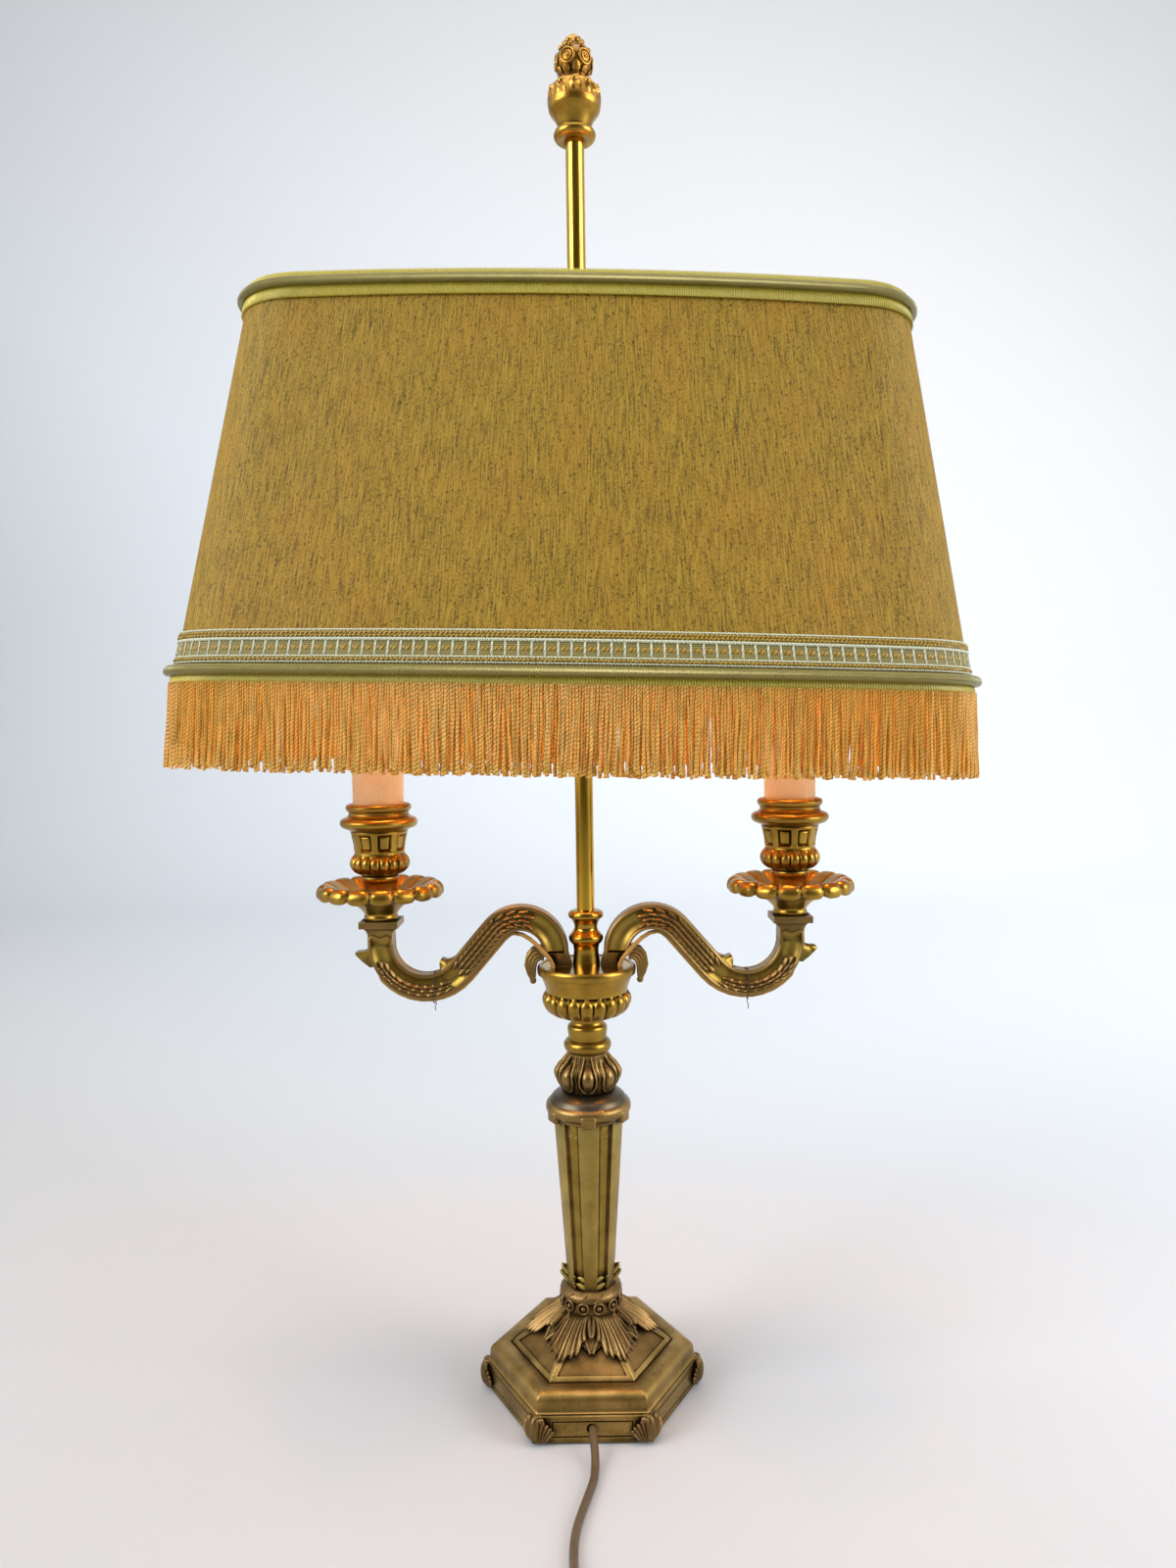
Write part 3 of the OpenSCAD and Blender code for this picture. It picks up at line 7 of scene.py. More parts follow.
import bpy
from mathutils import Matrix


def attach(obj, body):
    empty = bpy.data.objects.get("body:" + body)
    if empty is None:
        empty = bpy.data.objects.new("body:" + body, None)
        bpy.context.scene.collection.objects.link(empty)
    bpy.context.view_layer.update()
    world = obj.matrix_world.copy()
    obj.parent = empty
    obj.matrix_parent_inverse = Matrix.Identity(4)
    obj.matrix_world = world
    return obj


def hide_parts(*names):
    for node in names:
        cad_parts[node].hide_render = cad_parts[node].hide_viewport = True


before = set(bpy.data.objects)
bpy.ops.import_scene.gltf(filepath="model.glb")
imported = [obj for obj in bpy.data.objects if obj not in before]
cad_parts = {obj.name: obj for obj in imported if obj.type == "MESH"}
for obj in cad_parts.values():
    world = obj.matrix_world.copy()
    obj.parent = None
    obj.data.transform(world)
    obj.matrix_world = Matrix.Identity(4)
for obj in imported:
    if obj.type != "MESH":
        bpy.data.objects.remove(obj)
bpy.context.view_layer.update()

import logging
import math
import random
from dataclasses import dataclass
from enum import Enum
from typing import Callable, Optional, Sequence

import bmesh
import bpy
from mathutils import Matrix, Vector

LOG = logging.getLogger("lamp")
MM = 0.001
Points = Sequence[tuple[float, float]]
Triple = tuple[float, float, float]


class Body(Enum):
    """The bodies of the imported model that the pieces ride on."""

    STAND = "stand"
    SHADE = "shade"
    FINIAL = "finial"
    BULB_LEFT = "bulb_left"
    BULB_RIGHT = "bulb_right"
    ROCKER = "rocker"


class Side(Enum):
    """The two candle arms."""

    LEFT = -1
    RIGHT = 1

    @property
    def word(self) -> str:
        """The side's word in the node names."""
        return self.name.lower()

    @property
    def bulb(self) -> Body:
        """The body of this side's bulb."""
        return Body.BULB_LEFT if self is Side.LEFT else Body.BULB_RIGHT


def linear(colour: str) -> tuple[float, float, float, float]:
    """Turns an sRGB hex colour to linear.

    Args:
        colour: Six hex digits after a hash.

    Returns:
        Red, green, blue and an alpha of 1.
    """
    parts = [int(colour[i : i + 2], 16) / 255 for i in (1, 3, 5)]
    red, green, blue = (c / 12.92 if c <= 0.04045 else ((c + 0.055) / 1.055) ** 2.4 for c in parts)
    return red, green, blue, 1.0


def per(size: float) -> float:
    """The texture scale whose pattern repeats about every size millimetres."""
    return 1 / (size * MM)


def add(
    tree: bpy.types.NodeTree,
    kind: str,
    inputs: Optional[dict] = None,
    stops: Sequence[tuple[float, str]] = (),
    **settings: object,
) -> bpy.types.Node:
    """Adds a node with its settings and links.

    Args:
        tree: The material's node tree.
        kind: The node's type.
        inputs: Values, hex colours or output sockets, by input name or number.
        stops: Places and hex colours of a colour ramp.
        settings: Attributes of the node.

    Returns:
        The node.
    """
    node = tree.nodes.new(kind)
    for name, value in settings.items():
        setattr(node, name, value)
    for name, value in (inputs or {}).items():
        if isinstance(value, bpy.types.NodeSocket):
            tree.links.new(value, node.inputs[name])
        else:
            node.inputs[name].default_value = linear(value) if isinstance(value, str) else value
    for number, (place, colour) in enumerate(stops):
        marks = node.color_ramp.elements
        mark = marks[number] if number < 2 else marks.new(place)
        mark.position = place
        mark.color = linear(colour)
    return node


@dataclass(frozen=True)
class Finish:
    """A material and how its surface was made."""

    name: str

    def material(self) -> bpy.types.Material:
        """Returns the material, made on first use."""
        made = bpy.data.materials.get(self.name)
        if made is None:
            made = bpy.data.materials.new(self.name)
            made.use_nodes = True
            shader = made.node_tree.nodes["Principled BSDF"]
            self.wire(made.node_tree, shader)
        return made

    def wire(self, tree: bpy.types.NodeTree, shader: bpy.types.Node) -> None:
        """Sets the shader of the material; each finish has its own."""

    def place(self, tree: bpy.types.NodeTree) -> bpy.types.NodeSocket:
        """Returns the point on the piece, in metres."""
        return add(tree, "ShaderNodeTexCoord").outputs["Object"]

    def mapped(self, tree: bpy.types.NodeTree, scale: Triple, turn: float = 0.0) -> bpy.types.NodeSocket:
        """Returns the piece's own UV, in metres, turned and then stretched.

        Args:
            tree: The material's node tree.
            scale: Repeats a metre along u and v.
            turn: Degrees by which the pattern leans.
        """
        flat = add(tree, "ShaderNodeTexCoord").outputs["UV"]
        return add(
            tree,
            "ShaderNodeMapping",
            {"Vector": flat, "Scale": scale, "Rotation": (0, 0, math.radians(turn))},
        ).outputs[0]


@dataclass(frozen=True)
class GiltBronze(Finish):
    """Cast bronze, gilded and patinated: soft gold where hands rub it, brown in the hollows."""

    gold: str
    bright: str
    patina: str
    rough: float = 0.36
    reach: float = 4.0  # millimetres over which a hollow darkens
    wear: float = 1.2  # how open a spot has to be to be all gold
    specks: float = 0.3

    def wire(self, tree: bpy.types.NodeTree, shader: bpy.types.Node) -> None:
        """Wires gold over patina by how deep the spot lies, with clouds and pits of the casting."""
        at = self.place(tree)
        clouds = add(tree, "ShaderNodeTexNoise", {"Vector": at, "Scale": per(15), "Detail": 6.0}).outputs[0]
        pits = add(tree, "ShaderNodeTexNoise", {"Vector": at, "Scale": per(1.5), "Detail": 3.0}).outputs[0]
        near = {"Distance": self.reach * MM}
        open_ = add(tree, "ShaderNodeAmbientOcclusion", near, samples=8).outputs["AO"]
        worn = add(tree, "ShaderNodeAmbientOcclusion", {"Distance": 0.9 * MM}, samples=4, inside=True).outputs["AO"]
        uneven = add(tree, "ShaderNodeMath", {0: clouds, 1: 0.6, 2: open_}, operation="MULTIPLY_ADD").outputs[0]
        span = {"Value": uneven, "From Min": 0.78, "From Max": self.wear}
        shown = add(tree, "ShaderNodeMapRange", span, interpolation_type="SMOOTHSTEP").outputs[0]
        span = {"Value": pits, "From Min": 0.3, "From Max": 0.4, "To Min": 1 - self.specks}
        flecks = add(tree, "ShaderNodeMapRange", span).outputs[0]
        shown = add(tree, "ShaderNodeMath", {0: shown, 1: flecks}, operation="MULTIPLY").outputs[0]
        span = {"Value": worn, "From Min": 0.95, "From Max": 0.45, "To Max": 0.7}
        edge = add(tree, "ShaderNodeMapRange", span).outputs[0]
        span = {"Value": clouds, "From Min": 0.35, "From Max": 0.65}
        tint = add(tree, "ShaderNodeMapRange", span).outputs[0]
        tone = add(tree, "ShaderNodeMix", {0: tint, 6: self.gold, 7: self.bright}, data_type="RGBA").outputs[2]
        tone = add(tree, "ShaderNodeMix", {0: shown, 6: self.patina, 7: tone}, data_type="RGBA").outputs[2]
        tone = add(tree, "ShaderNodeMix", {0: edge, 6: tone, 7: self.bright}, data_type="RGBA").outputs[2]
        span = {"Value": shown, "To Min": self.rough + 0.22, "To Max": self.rough}
        gloss = add(tree, "ShaderNodeMapRange", span).outputs[0]
        bump = {"Strength": 0.25, "Distance": 0.1 * MM, "Height": pits}
        tree.links.new(tone, shader.inputs["Base Color"])
        tree.links.new(gloss, shader.inputs["Roughness"])
        tree.links.new(add(tree, "ShaderNodeBump", bump).outputs[0], shader.inputs["Normal"])
        shader.inputs["Metallic"].default_value = 0.95


@dataclass(frozen=True)
class Plain(Finish):
    """One substance whose fine grain shows in its colour, gloss and relief."""

    base: str
    tint: str
    rough: float
    grain: float  # millimetres between grains
    stretch: Triple = (1.0, 1.0, 1.0)
    relief: float = 0.05
    metallic: float = 0.0
    sheen: float = 0.0
    coat: float = 0.0
    scatter: float = 0.0

    def wire(self, tree: bpy.types.NodeTree, shader: bpy.types.Node) -> None:
        """Wires a fine and a broad noise into the colour, the gloss and the relief."""
        at = add(
            tree, "ShaderNodeMapping", {"Vector": self.place(tree), "Scale": self.stretch}
        ).outputs[0]
        fine = add(tree, "ShaderNodeTexNoise", {"Vector": at, "Scale": per(self.grain), "Detail": 3.0}).outputs[0]
        broad = add(tree, "ShaderNodeTexNoise", {"Vector": at, "Scale": per(self.grain * 14), "Detail": 2.0}).outputs[0]
        both = add(tree, "ShaderNodeMath", {0: fine, 1: broad}, operation="MULTIPLY").outputs[0]
        share = add(
            tree, "ShaderNodeMapRange", {"Value": both, "From Min": 0.12, "From Max": 0.42}
        ).outputs[0]
        tone = add(
            tree, "ShaderNodeMix", {0: share, 6: self.base, 7: self.tint}, data_type="RGBA"
        ).outputs[2]
        gloss = add(
            tree,
            "ShaderNodeMapRange",
            {"Value": fine, "To Min": self.rough - 0.08, "To Max": self.rough + 0.08},
        ).outputs[0]
        relief = add(
            tree,
            "ShaderNodeBump",
            {"Strength": 0.4, "Distance": self.relief * MM, "Height": fine},
        ).outputs[0]
        tree.links.new(tone, shader.inputs["Base Color"])
        tree.links.new(gloss, shader.inputs["Roughness"])
        tree.links.new(relief, shader.inputs["Normal"])
        shader.inputs["Metallic"].default_value = self.metallic
        shader.inputs["Sheen Weight"].default_value = self.sheen
        shader.inputs["Coat Weight"].default_value = self.coat
        shader.inputs["Subsurface Weight"].default_value = self.scatter
        shader.inputs["Subsurface Scale"].default_value = 2 * MM


@dataclass(frozen=True)
class SlubSilk(Finish):
    """Slub silk on a stiff backing: long uneven threads that lean, olive knots, light coming through, and warm clouds
    of painted glow.
    """

    base: str
    pale: str
    knot: str
    # orange laid over the cloth in random clouds: a painted glow of the bulbs through the silk
    warm: str
    through: float = 0.05
    lean: float = -13.0

    def wire(self, tree: bpy.types.NodeTree, shader: bpy.types.Node) -> None:
        """Wires threads, slubs and knots along the cloth's own UV, and light through the cloth."""

        def noise(wide: float, long_: float, detail: float) -> bpy.types.NodeSocket:
            """Returns noise of a grain's width and length in millimetres, leaning as the threads do."""
            at = self.mapped(tree, (per(wide), per(long_), 1), self.lean)
            return add(tree, "ShaderNodeTexNoise", {"Vector": at, "Scale": 1.0, "Detail": detail}).outputs[0]

        def share(value: bpy.types.NodeSocket, low: float, high: float, most: float) -> bpy.types.NodeSocket:
            """Returns how far a value is between low and high, up to most."""
            span = {"Value": value, "From Min": low, "From Max": high, "To Max": most}
            return add(tree, "ShaderNodeMapRange", span).outputs[0]

        lines, weave, slubs = noise(0.9, 14, 3.0), noise(1.1, 1.3, 2.0), noise(1.3, 20, 4.0)
        knots, clouds, bands = noise(1.3, 2.4, 3.0), noise(30, 46, 4.0), noise(3.2, 70, 2.0)
        ramp = ((0.3, self.knot), (0.68, self.pale), (0.47, self.base))
        tone = add(tree, "ShaderNodeValToRGB", {"Fac": lines}, stops=ramp).outputs[0]
        for value, colour in (
            # the warm clouds: painted glow of the bulbs through the cloth
            (share(clouds, 0.46, 0.68, 0.4), self.warm),
            (share(bands, 0.55, 0.72, 0.22), self.knot),
            (share(weave, 0.45, 0.66, 0.75), self.pale),
            (share(slubs, 0.57, 0.66, 0.5), self.knot),
            (share(knots, 0.6, 0.66, 0.9), self.knot),
        ):
            tone = add(tree, "ShaderNodeMix", {0: value, 6: tone, 7: colour}, data_type="RGBA").outputs[2]
        height = add(tree, "ShaderNodeMath", {0: lines, 1: weave}, operation="ADD").outputs[0]
        bump = {"Strength": 0.55, "Distance": 0.22 * MM, "Height": height}
        tree.links.new(tone, shader.inputs["Base Color"])
        tree.links.new(add(tree, "ShaderNodeBump", bump).outputs[0], shader.inputs["Normal"])
        shader.inputs["Roughness"].default_value = 0.7
        shader.inputs["Specular IOR Level"].default_value = 0.3
        shader.inputs["Sheen Weight"].default_value = 0.06
        shader.inputs["Sheen Tint"].default_value = linear(self.pale)
        behind = add(tree, "ShaderNodeBsdfTranslucent", {"Color": tone}).outputs[0]
        mixed = add(tree, "ShaderNodeMixShader", {0: self.through, 1: shader.outputs[0], 2: behind}).outputs[0]
        tree.links.new(mixed, tree.nodes["Material Output"].inputs["Surface"])


@dataclass(frozen=True)
class Thread(Finish):
    """Spun thread: strands across or round the piece, along its own UV, with the satin's soft gloss; the furrows
    between strands are painted darker, as painted shade.
    """

    light: str
    # the colour in the furrows between strands: painted shade
    dark: str
    pitch: float  # millimetres from strand to strand
    slant: float = 0.0
    rough: float = 0.5
    through: float = 0.0
    stain: str = "#8a6a2a"
    lustre: float = 0.0  # how much of the gloss takes the thread's colour

    def wire(self, tree: bpy.types.NodeTree, shader: bpy.types.Node) -> None:
        """Wires the strands as waves along u, slanted, broken by noise."""
        at = self.mapped(tree, (per(self.pitch), per(self.pitch), 1), self.slant)
        strands = add(
            tree,
            "ShaderNodeTexWave",
            {"Vector": at, "Scale": 0.314, "Distortion": 0.8, "Detail": 1.0},
            wave_type="BANDS",
            bands_direction="X",
        ).outputs[1]
        uneven = add(
            tree, "ShaderNodeTexNoise", {"Vector": self.mapped(tree, (per(11), per(11), 1)), "Scale": 1.0, "Detail": 4.0}
        ).outputs[0]
        # crests of the strands take the light colour and the furrows the dark: painted shade between the strands
        tone = add(
            tree, "ShaderNodeMix", {0: strands, 6: self.dark, 7: self.light}, data_type="RGBA"
        ).outputs[2]
        share = add(
            tree, "ShaderNodeMapRange", {"Value": uneven, "From Min": 0.45, "From Max": 0.75, "To Max": 0.5}
        ).outputs[0]
        tone = add(tree, "ShaderNodeMix", {0: share, 6: tone, 7: self.stain}, data_type="RGBA").outputs[2]
        relief = add(
            tree, "ShaderNodeBump", {"Strength": 0.7, "Distance": 0.3 * MM, "Height": strands}
        ).outputs[0]
        tree.links.new(tone, shader.inputs["Base Color"])
        tree.links.new(relief, shader.inputs["Normal"])
        shader.inputs["Roughness"].default_value = self.rough
        shader.inputs["Metallic"].default_value = self.lustre
        shader.inputs["Sheen Weight"].default_value = 0.08
        shader.inputs["Sheen Tint"].default_value = linear(self.light)
        if self.through:
            behind = add(tree, "ShaderNodeBsdfTranslucent", {"Color": tone}).outputs[0]
            mixed = add(
                tree, "ShaderNodeMixShader", {0: self.through, 1: shader.outputs[0], 2: behind}
            ).outputs[0]
            tree.links.new(mixed, tree.nodes["Material Output"].inputs["Surface"])


@dataclass(frozen=True)
class Paper(Finish):
    """Seamless backdrop paper, greyer on the table and paler up the wall and to the right; this grading is painted
    light and shade.
    """

    tones: Sequence[tuple[float, str]]

    def wire(self, tree: bpy.types.NodeTree, shader: bpy.types.Node) -> None:
        """Wires the tones along the paper, from 0.7 m in front of the lamp to 4.6 m along it."""
        parts = add(tree, "ShaderNodeSeparateXYZ", {"Vector": self.place(tree)}).outputs
        along = add(tree, "ShaderNodeMath", {0: parts["Y"], 1: parts["Z"]}).outputs[0]
        along = add(tree, "ShaderNodeMath", {0: parts["X"], 1: 0.9, 2: along}, operation="MULTIPLY_ADD").outputs[0]
        span = {"Value": along, "From Min": -0.7, "From Max": 4.6}
        share = add(tree, "ShaderNodeMapRange", span).outputs[0]
        tone = add(tree, "ShaderNodeValToRGB", {"Fac": share}, stops=self.tones).outputs[0]
        tree.links.new(tone, shader.inputs["Base Color"])
        shader.inputs["Roughness"].default_value = 0.9


@dataclass(frozen=True)
class LampGlass(Finish):
    """Blown bulb glass, thin and clear, a little warm from the glow inside."""

    tint: str

    def wire(self, tree: bpy.types.NodeTree, shader: bpy.types.Node) -> None:
        """Sets clear glass."""
        shader.inputs["Base Color"].default_value = linear(self.tint)
        shader.inputs["Roughness"].default_value = 0.04
        shader.inputs["IOR"].default_value = 1.5
        shader.inputs["Transmission Weight"].default_value = 0.95


@dataclass(frozen=True)
class Glowing(Finish):
    """A filament at work: hot metal that gives its own light."""

    colour: str
    strength: float

    def wire(self, tree: bpy.types.NodeTree, shader: bpy.types.Node) -> None:
        """Sets the glow."""
        shader.inputs["Base Color"].default_value = linear(self.colour)
        shader.inputs["Emission Color"].default_value = linear(self.colour)
        shader.inputs["Emission Strength"].default_value = self.strength


# Cast and gilded; the carved pieces keep most of their brown in the hollows.
GILT = GiltBronze("gilt_bronze_cast", "#7c6538", "#9c7d48", "#2b1f12", 0.38, 4.5, 1.25)
# The leaves of the foot, dull and brown.
GILT_LEAF = GiltBronze("gilt_bronze_leaves", "#685330", "#866a3f", "#291d11", 0.42, 4.0, 1.25)
# The base was handled least, so its gilding is duller and clouded with brown.
GILT_BASE = GiltBronze("gilt_bronze_base", "#826934", "#a2834a", "#3a2914", 0.4, 5.0, 1.32, 0.45)
# Sunk fields, darker and browner than the frames round them: painted shade in the recesses.
GILT_FIELD_PAINTED_SHADE = GiltBronze("gilt_bronze_field_painted_shade", "#6b532b", "#87683a", "#33220f", 0.46, 4.0, 1.4, 0.3)
# The sunk sides of the arms and the column's narrow fillets, olive and satin.
GILT_SIDE = GiltBronze("gilt_bronze_satin", "#7f692b", "#9b8138", "#2c1f0f", 0.38, 3.0, 1.15, 0.2)
# Turned and polished rings, drip pans and cups: brighter, smoother.
GILT_TURNED = GiltBronze("gilt_bronze_turned", "#8f7029", "#b08a37", "#31200d", 0.3, 3.0, 1.14, 0.15)
# The column's pilasters, pale and rubbed.
GILT_COLUMN = GiltBronze("gilt_bronze_column", "#947d40", "#b0984e", "#3b2a15", 0.36, 3.5, 1.22, 0.15)
# The finial's carving, where the brown was left thick.
GILT_DEEP = GiltBronze("gilt_bronze_finial", "#805c24", "#b98738", "#1f140a", 0.28, 4.5, 1.3, 0.2)
# Turned dome, coloured almost black-brown and waxed.
DARK_BRONZE = GiltBronze("patinated_bronze_dome", "#4b4335", "#635845", "#2a2219", 0.36, 4.0, 1.1, 0.2)
# Drawn brass tube, polished along its length and dulled by age.
BRASS = Plain("drawn_brass_aged", "#bd9532", "#d6ae46", 0.15, 0.9, (1, 1, 0.06), 0.015, 1.0)
# Turned brass of the disc, rings and screws.
BRASS_TURNED = Plain("turned_brass", "#97762a", "#b48f38", 0.22, 0.8, (1, 1, 1), 0.015, 1.0)
ZINC = Plain("zinc_plated_steel", "#8f9294", "#a8abad", 0.36, 1.4, (1, 1, 1), 0.02, 1.0)
FELT = Plain("pressed_wool_felt", "#1d2a1c", "#2d3d2a", 0.95, 0.7, (1, 1, 1), 0.3, 0.0, 0.6)
# Waxed card tube, matt, with fine brown specks.
CARD = Plain("waxed_card_sleeve", "#f8e6b8", "#ecd19a", 0.5, 1.1, (1, 1, 0.7), 0.05, 0.0, 0.0, 0.1, 0.12)
PORCELAIN = Plain("glazed_porcelain", "#e2d8c2", "#cfc3a8", 0.22, 2.5, (1, 1, 1), 0.02, 0.0, 0.0, 0.4)
CONTACT = Plain("spring_brass_contact", "#b8933c", "#9c7a30", 0.3, 1.0, (1, 1, 1), 0.02, 1.0)
CAP = Plain("rolled_aluminium_cap", "#a9abad", "#c1c3c5", 0.34, 0.8, (1, 1, 1), 0.02, 1.0)
GLASS = LampGlass("blown_bulb_glass", "#fff3dc")
FILAMENT = Glowing("tungsten_filament_lit", "#ffb45a", 14.0)
BRAIDED = Plain("gold_braided_wire", "#b98a2e", "#8f6a22", 0.55, 0.6, (1, 1, 1), 0.12, 0.0, 0.3)
LEAD = Plain("rubber_lead_brown", "#5e4425", "#6e5230", 0.6, 1.0)
ENAMEL = Plain("enamelled_steel_wire", "#d9d4c6", "#c8c1ae", 0.4, 2.0, (1, 1, 1), 0.03, 0.0, 0.0, 0.2)
SILK = SlubSilk("slub_silk_gold", "#836713", "#a5862c", "#41350b", "#9c6e1a")
LINING = SlubSilk("card_lining_cream", "#e3c88e", "#ecd6a4", "#cfae72", "#e8bd7c", 0.4, 0.0)
GIMP = Thread("rayon_gimp_yellow", "#e0cf4e", "#8f8226", 1.45, 0.0, 0.4, 0.0, "#a09128")
# Satin wrapped over a cotton core, its threads lying across the piping.
PIPING = Thread("satin_piping", "#948843", "#6b602f", 0.7, 6.0, 0.16, 0.0, "#6e632f", 0.4)
WHITE_THREAD = Thread("cotton_braid_white", "#dcdec6", "#9c9f7c", 1.1, 20.0, 0.5, 0.0, "#c6c8aa")
CREAM_THREAD = Thread("cotton_braid_cream", "#968a48", "#665a28", 0.9, 90.0, 0.5, 0.0, "#8f8348")
OCHRE_THREAD = Thread("rayon_braid_ochre", "#b08c20", "#6a520c", 1.8, 35.0, 0.45, 0.0, "#927316")
FRINGE = Thread("twisted_rayon_fringe", "#ffe27a", "#d9a336", 1.6, 48.0, 0.34, 0.5, "#b07f22")
CORD = Plain("pvc_cord_brown", "#4a3a24", "#5a472c", 0.42, 1.2, (1, 1, 1), 0.05)
SWITCH = Plain("moulded_switch_plastic", "#3a2e20", "#463826", 0.35, 1.5, (1, 1, 1), 0.03)
ROCKER = Plain("moulded_rocker_plastic", "#e6e0d2", "#d9d2c0", 0.32, 1.6, (1, 1, 1), 0.02)
NICKEL = Plain("nickel_plated_pins", "#bdb6a2", "#cfc9b8", 0.22, 1.0, (1, 1, 1), 0.01, 1.0)
COTTON = Plain("waxed_cotton_thread", "#2c2114", "#40301c", 0.7, 0.3, (1, 1, 1), 0.05, 0.0, 0.2)
# grey near the lamp to white far up the wall and to the right: painted light and shade on the paper
PAPER_PAINTED_FALLOFF = Paper("backdrop_paper_painted_light", ((0.0, "#a6a5a4"), (1.0, "#ffffff"), (0.12, "#b3b2b1"), (0.26, "#c6cacd"), (0.6, "#edf2f6")))
NYLON = Plain("nylon_cord_tie", "#1f1c18", "#2a2621", 0.45, 0.8)


def settle(
    bm: bmesh.types.BMesh,
    name: str,
    body: Body,
    finishes: Sequence[Finish],
    replaces: Sequence[str] = (),
    sharp: float = 38.0,
) -> bpy.types.Object:
    """Makes a finished piece of a mesh in millimetres.

    Args:
        bm: The mesh, which is freed.
        name: The piece's name.
        body: What it rides on.
        finishes: Its materials, in the order of its faces' material numbers.
        replaces: The nodes that it stands for.
        sharp: Degrees from which an edge stays sharp.

    Returns:
        The piece.
    """
    bmesh.ops.remove_doubles(bm, verts=bm.verts, dist=0.003)
    bmesh.ops.recalc_face_normals(bm, faces=bm.faces)
    bmesh.ops.scale(bm, vec=(MM, MM, MM), verts=bm.verts)
    mesh = bpy.data.meshes.new(name)
    bm.to_mesh(mesh)
    bm.free()
    mesh.shade_smooth()
    mesh.set_sharp_from_angle(angle=math.radians(sharp))
    piece = bpy.data.objects.new(name, mesh)
    bpy.context.scene.collection.objects.link(piece)
    for finish in finishes:
        mesh.materials.append(finish.material())
    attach(piece, body.value)
    if replaces:
        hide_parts(*replaces)
    LOG.info("%s: %d faces", name, len(mesh.polygons))
    return piece


def dress(finish: Finish, *nodes: str) -> None:
    """Gives CAD nodes a finish."""
    for name in nodes:
        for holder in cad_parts[name].material_slots:
            holder.material = finish.material()
        LOG.info("%s: %s", name, finish.name)


def copied(node: str) -> bmesh.types.BMesh:
    """Copies a node's mesh, in millimetres."""
    bm = bmesh.new()
    bm.from_mesh(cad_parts[node].data)
    bmesh.ops.scale(bm, vec=(1 / MM, 1 / MM, 1 / MM), verts=bm.verts)
    bmesh.ops.remove_doubles(bm, verts=bm.verts, dist=0.003)
    return bm


def softened(node: str, width: float, least: float = 30.0) -> bmesh.types.BMesh:
    """Copies a node's mesh and rounds its edges, as casting and handling do.

    Args:
        node: The CAD node.
        width: The rounding's width in millimetres.
        least: Degrees between two faces from which their edge is rounded.

    Returns:
        The copy, in millimetres.
    """
    bm = copied(node)
    bmesh.ops.dissolve_limit(
        bm, angle_limit=math.radians(1.2), verts=bm.verts, edges=bm.edges, use_dissolve_boundaries=False
    )
    edges = [
        e
        for e in bm.edges
        if e.is_manifold
        and e.calc_face_angle(0) > math.radians(least)
        and e.calc_length() > 1.3 * width
        and min(f.calc_area() for f in e.link_faces) > 2 * width * width
    ]
    bmesh.ops.bevel(
        bm,
        geom=edges,
        offset=width,
        offset_type="OFFSET",
        segments=2,
        profile=0.5,
        affect="EDGES",
        clamp_overlap=False,
        material=-1,
    )
    return bm


def rounded(profile: Points, pitch: float = 0.8, corner: float = 62.0) -> list[tuple[float, float]]:
    """Draws a moulding's gentle turns as curves and keeps its sharp ones.

    Args:
        profile: Radius and height of its points.
        pitch: The longest step in millimetres.
        corner: Degrees from which a turn stays sharp.

    Returns:
        The finer profile.
    """
    points = [Vector(p) for p in profile]
    last = len(points) - 1
    headings = [(b - a).normalized() for a, b in zip(points, points[1:])]
    slopes = [headings[0], *((a + b).normalized() for a, b in zip(headings, headings[1:])), headings[-1]]
    sharp = [i in (0, last) or headings[i - 1].angle(headings[i]) > math.radians(corner) for i in range(last + 1)]
    fine: list[tuple[float, float]] = []
    for i, (a, b) in enumerate(zip(points, points[1:])):
        span = (b - a).length
        leave = (headings[i] if sharp[i] else slopes[i]) * span
        reach = (headings[i] if sharp[i + 1] else slopes[i + 1]) * span
        steps = max(1, math.ceil(span / pitch))
        for k in range(steps):
            t = k / steps
            spot = (
                (2 * t**3 - 3 * t**2 + 1) * a
                + (t**3 - 2 * t**2 + t) * leave
                + (3 * t**2 - 2 * t**3) * b
                + (t**3 - t**2) * reach
            )
            fine.append((max(spot.x, 0.0), spot.y))
    fine.append(tuple(points[-1]))
    return fine


Rule = Callable[[float, float, float], tuple[float, float]]


def pull(bm: bmesh.types.BMesh, edges: list) -> tuple[list, list]:
    """Extrudes a loop of edges where it stands and returns the new loop's points and edges."""
    made = bmesh.ops.extrude_edge_only(bm, edges=edges)["geom"]
    spots = [g for g in made if isinstance(g, bmesh.types.BMVert)]
    kept = set(spots)
    return spots, [g for g in made if isinstance(g, bmesh.types.BMEdge) and kept.issuperset(g.verts)]


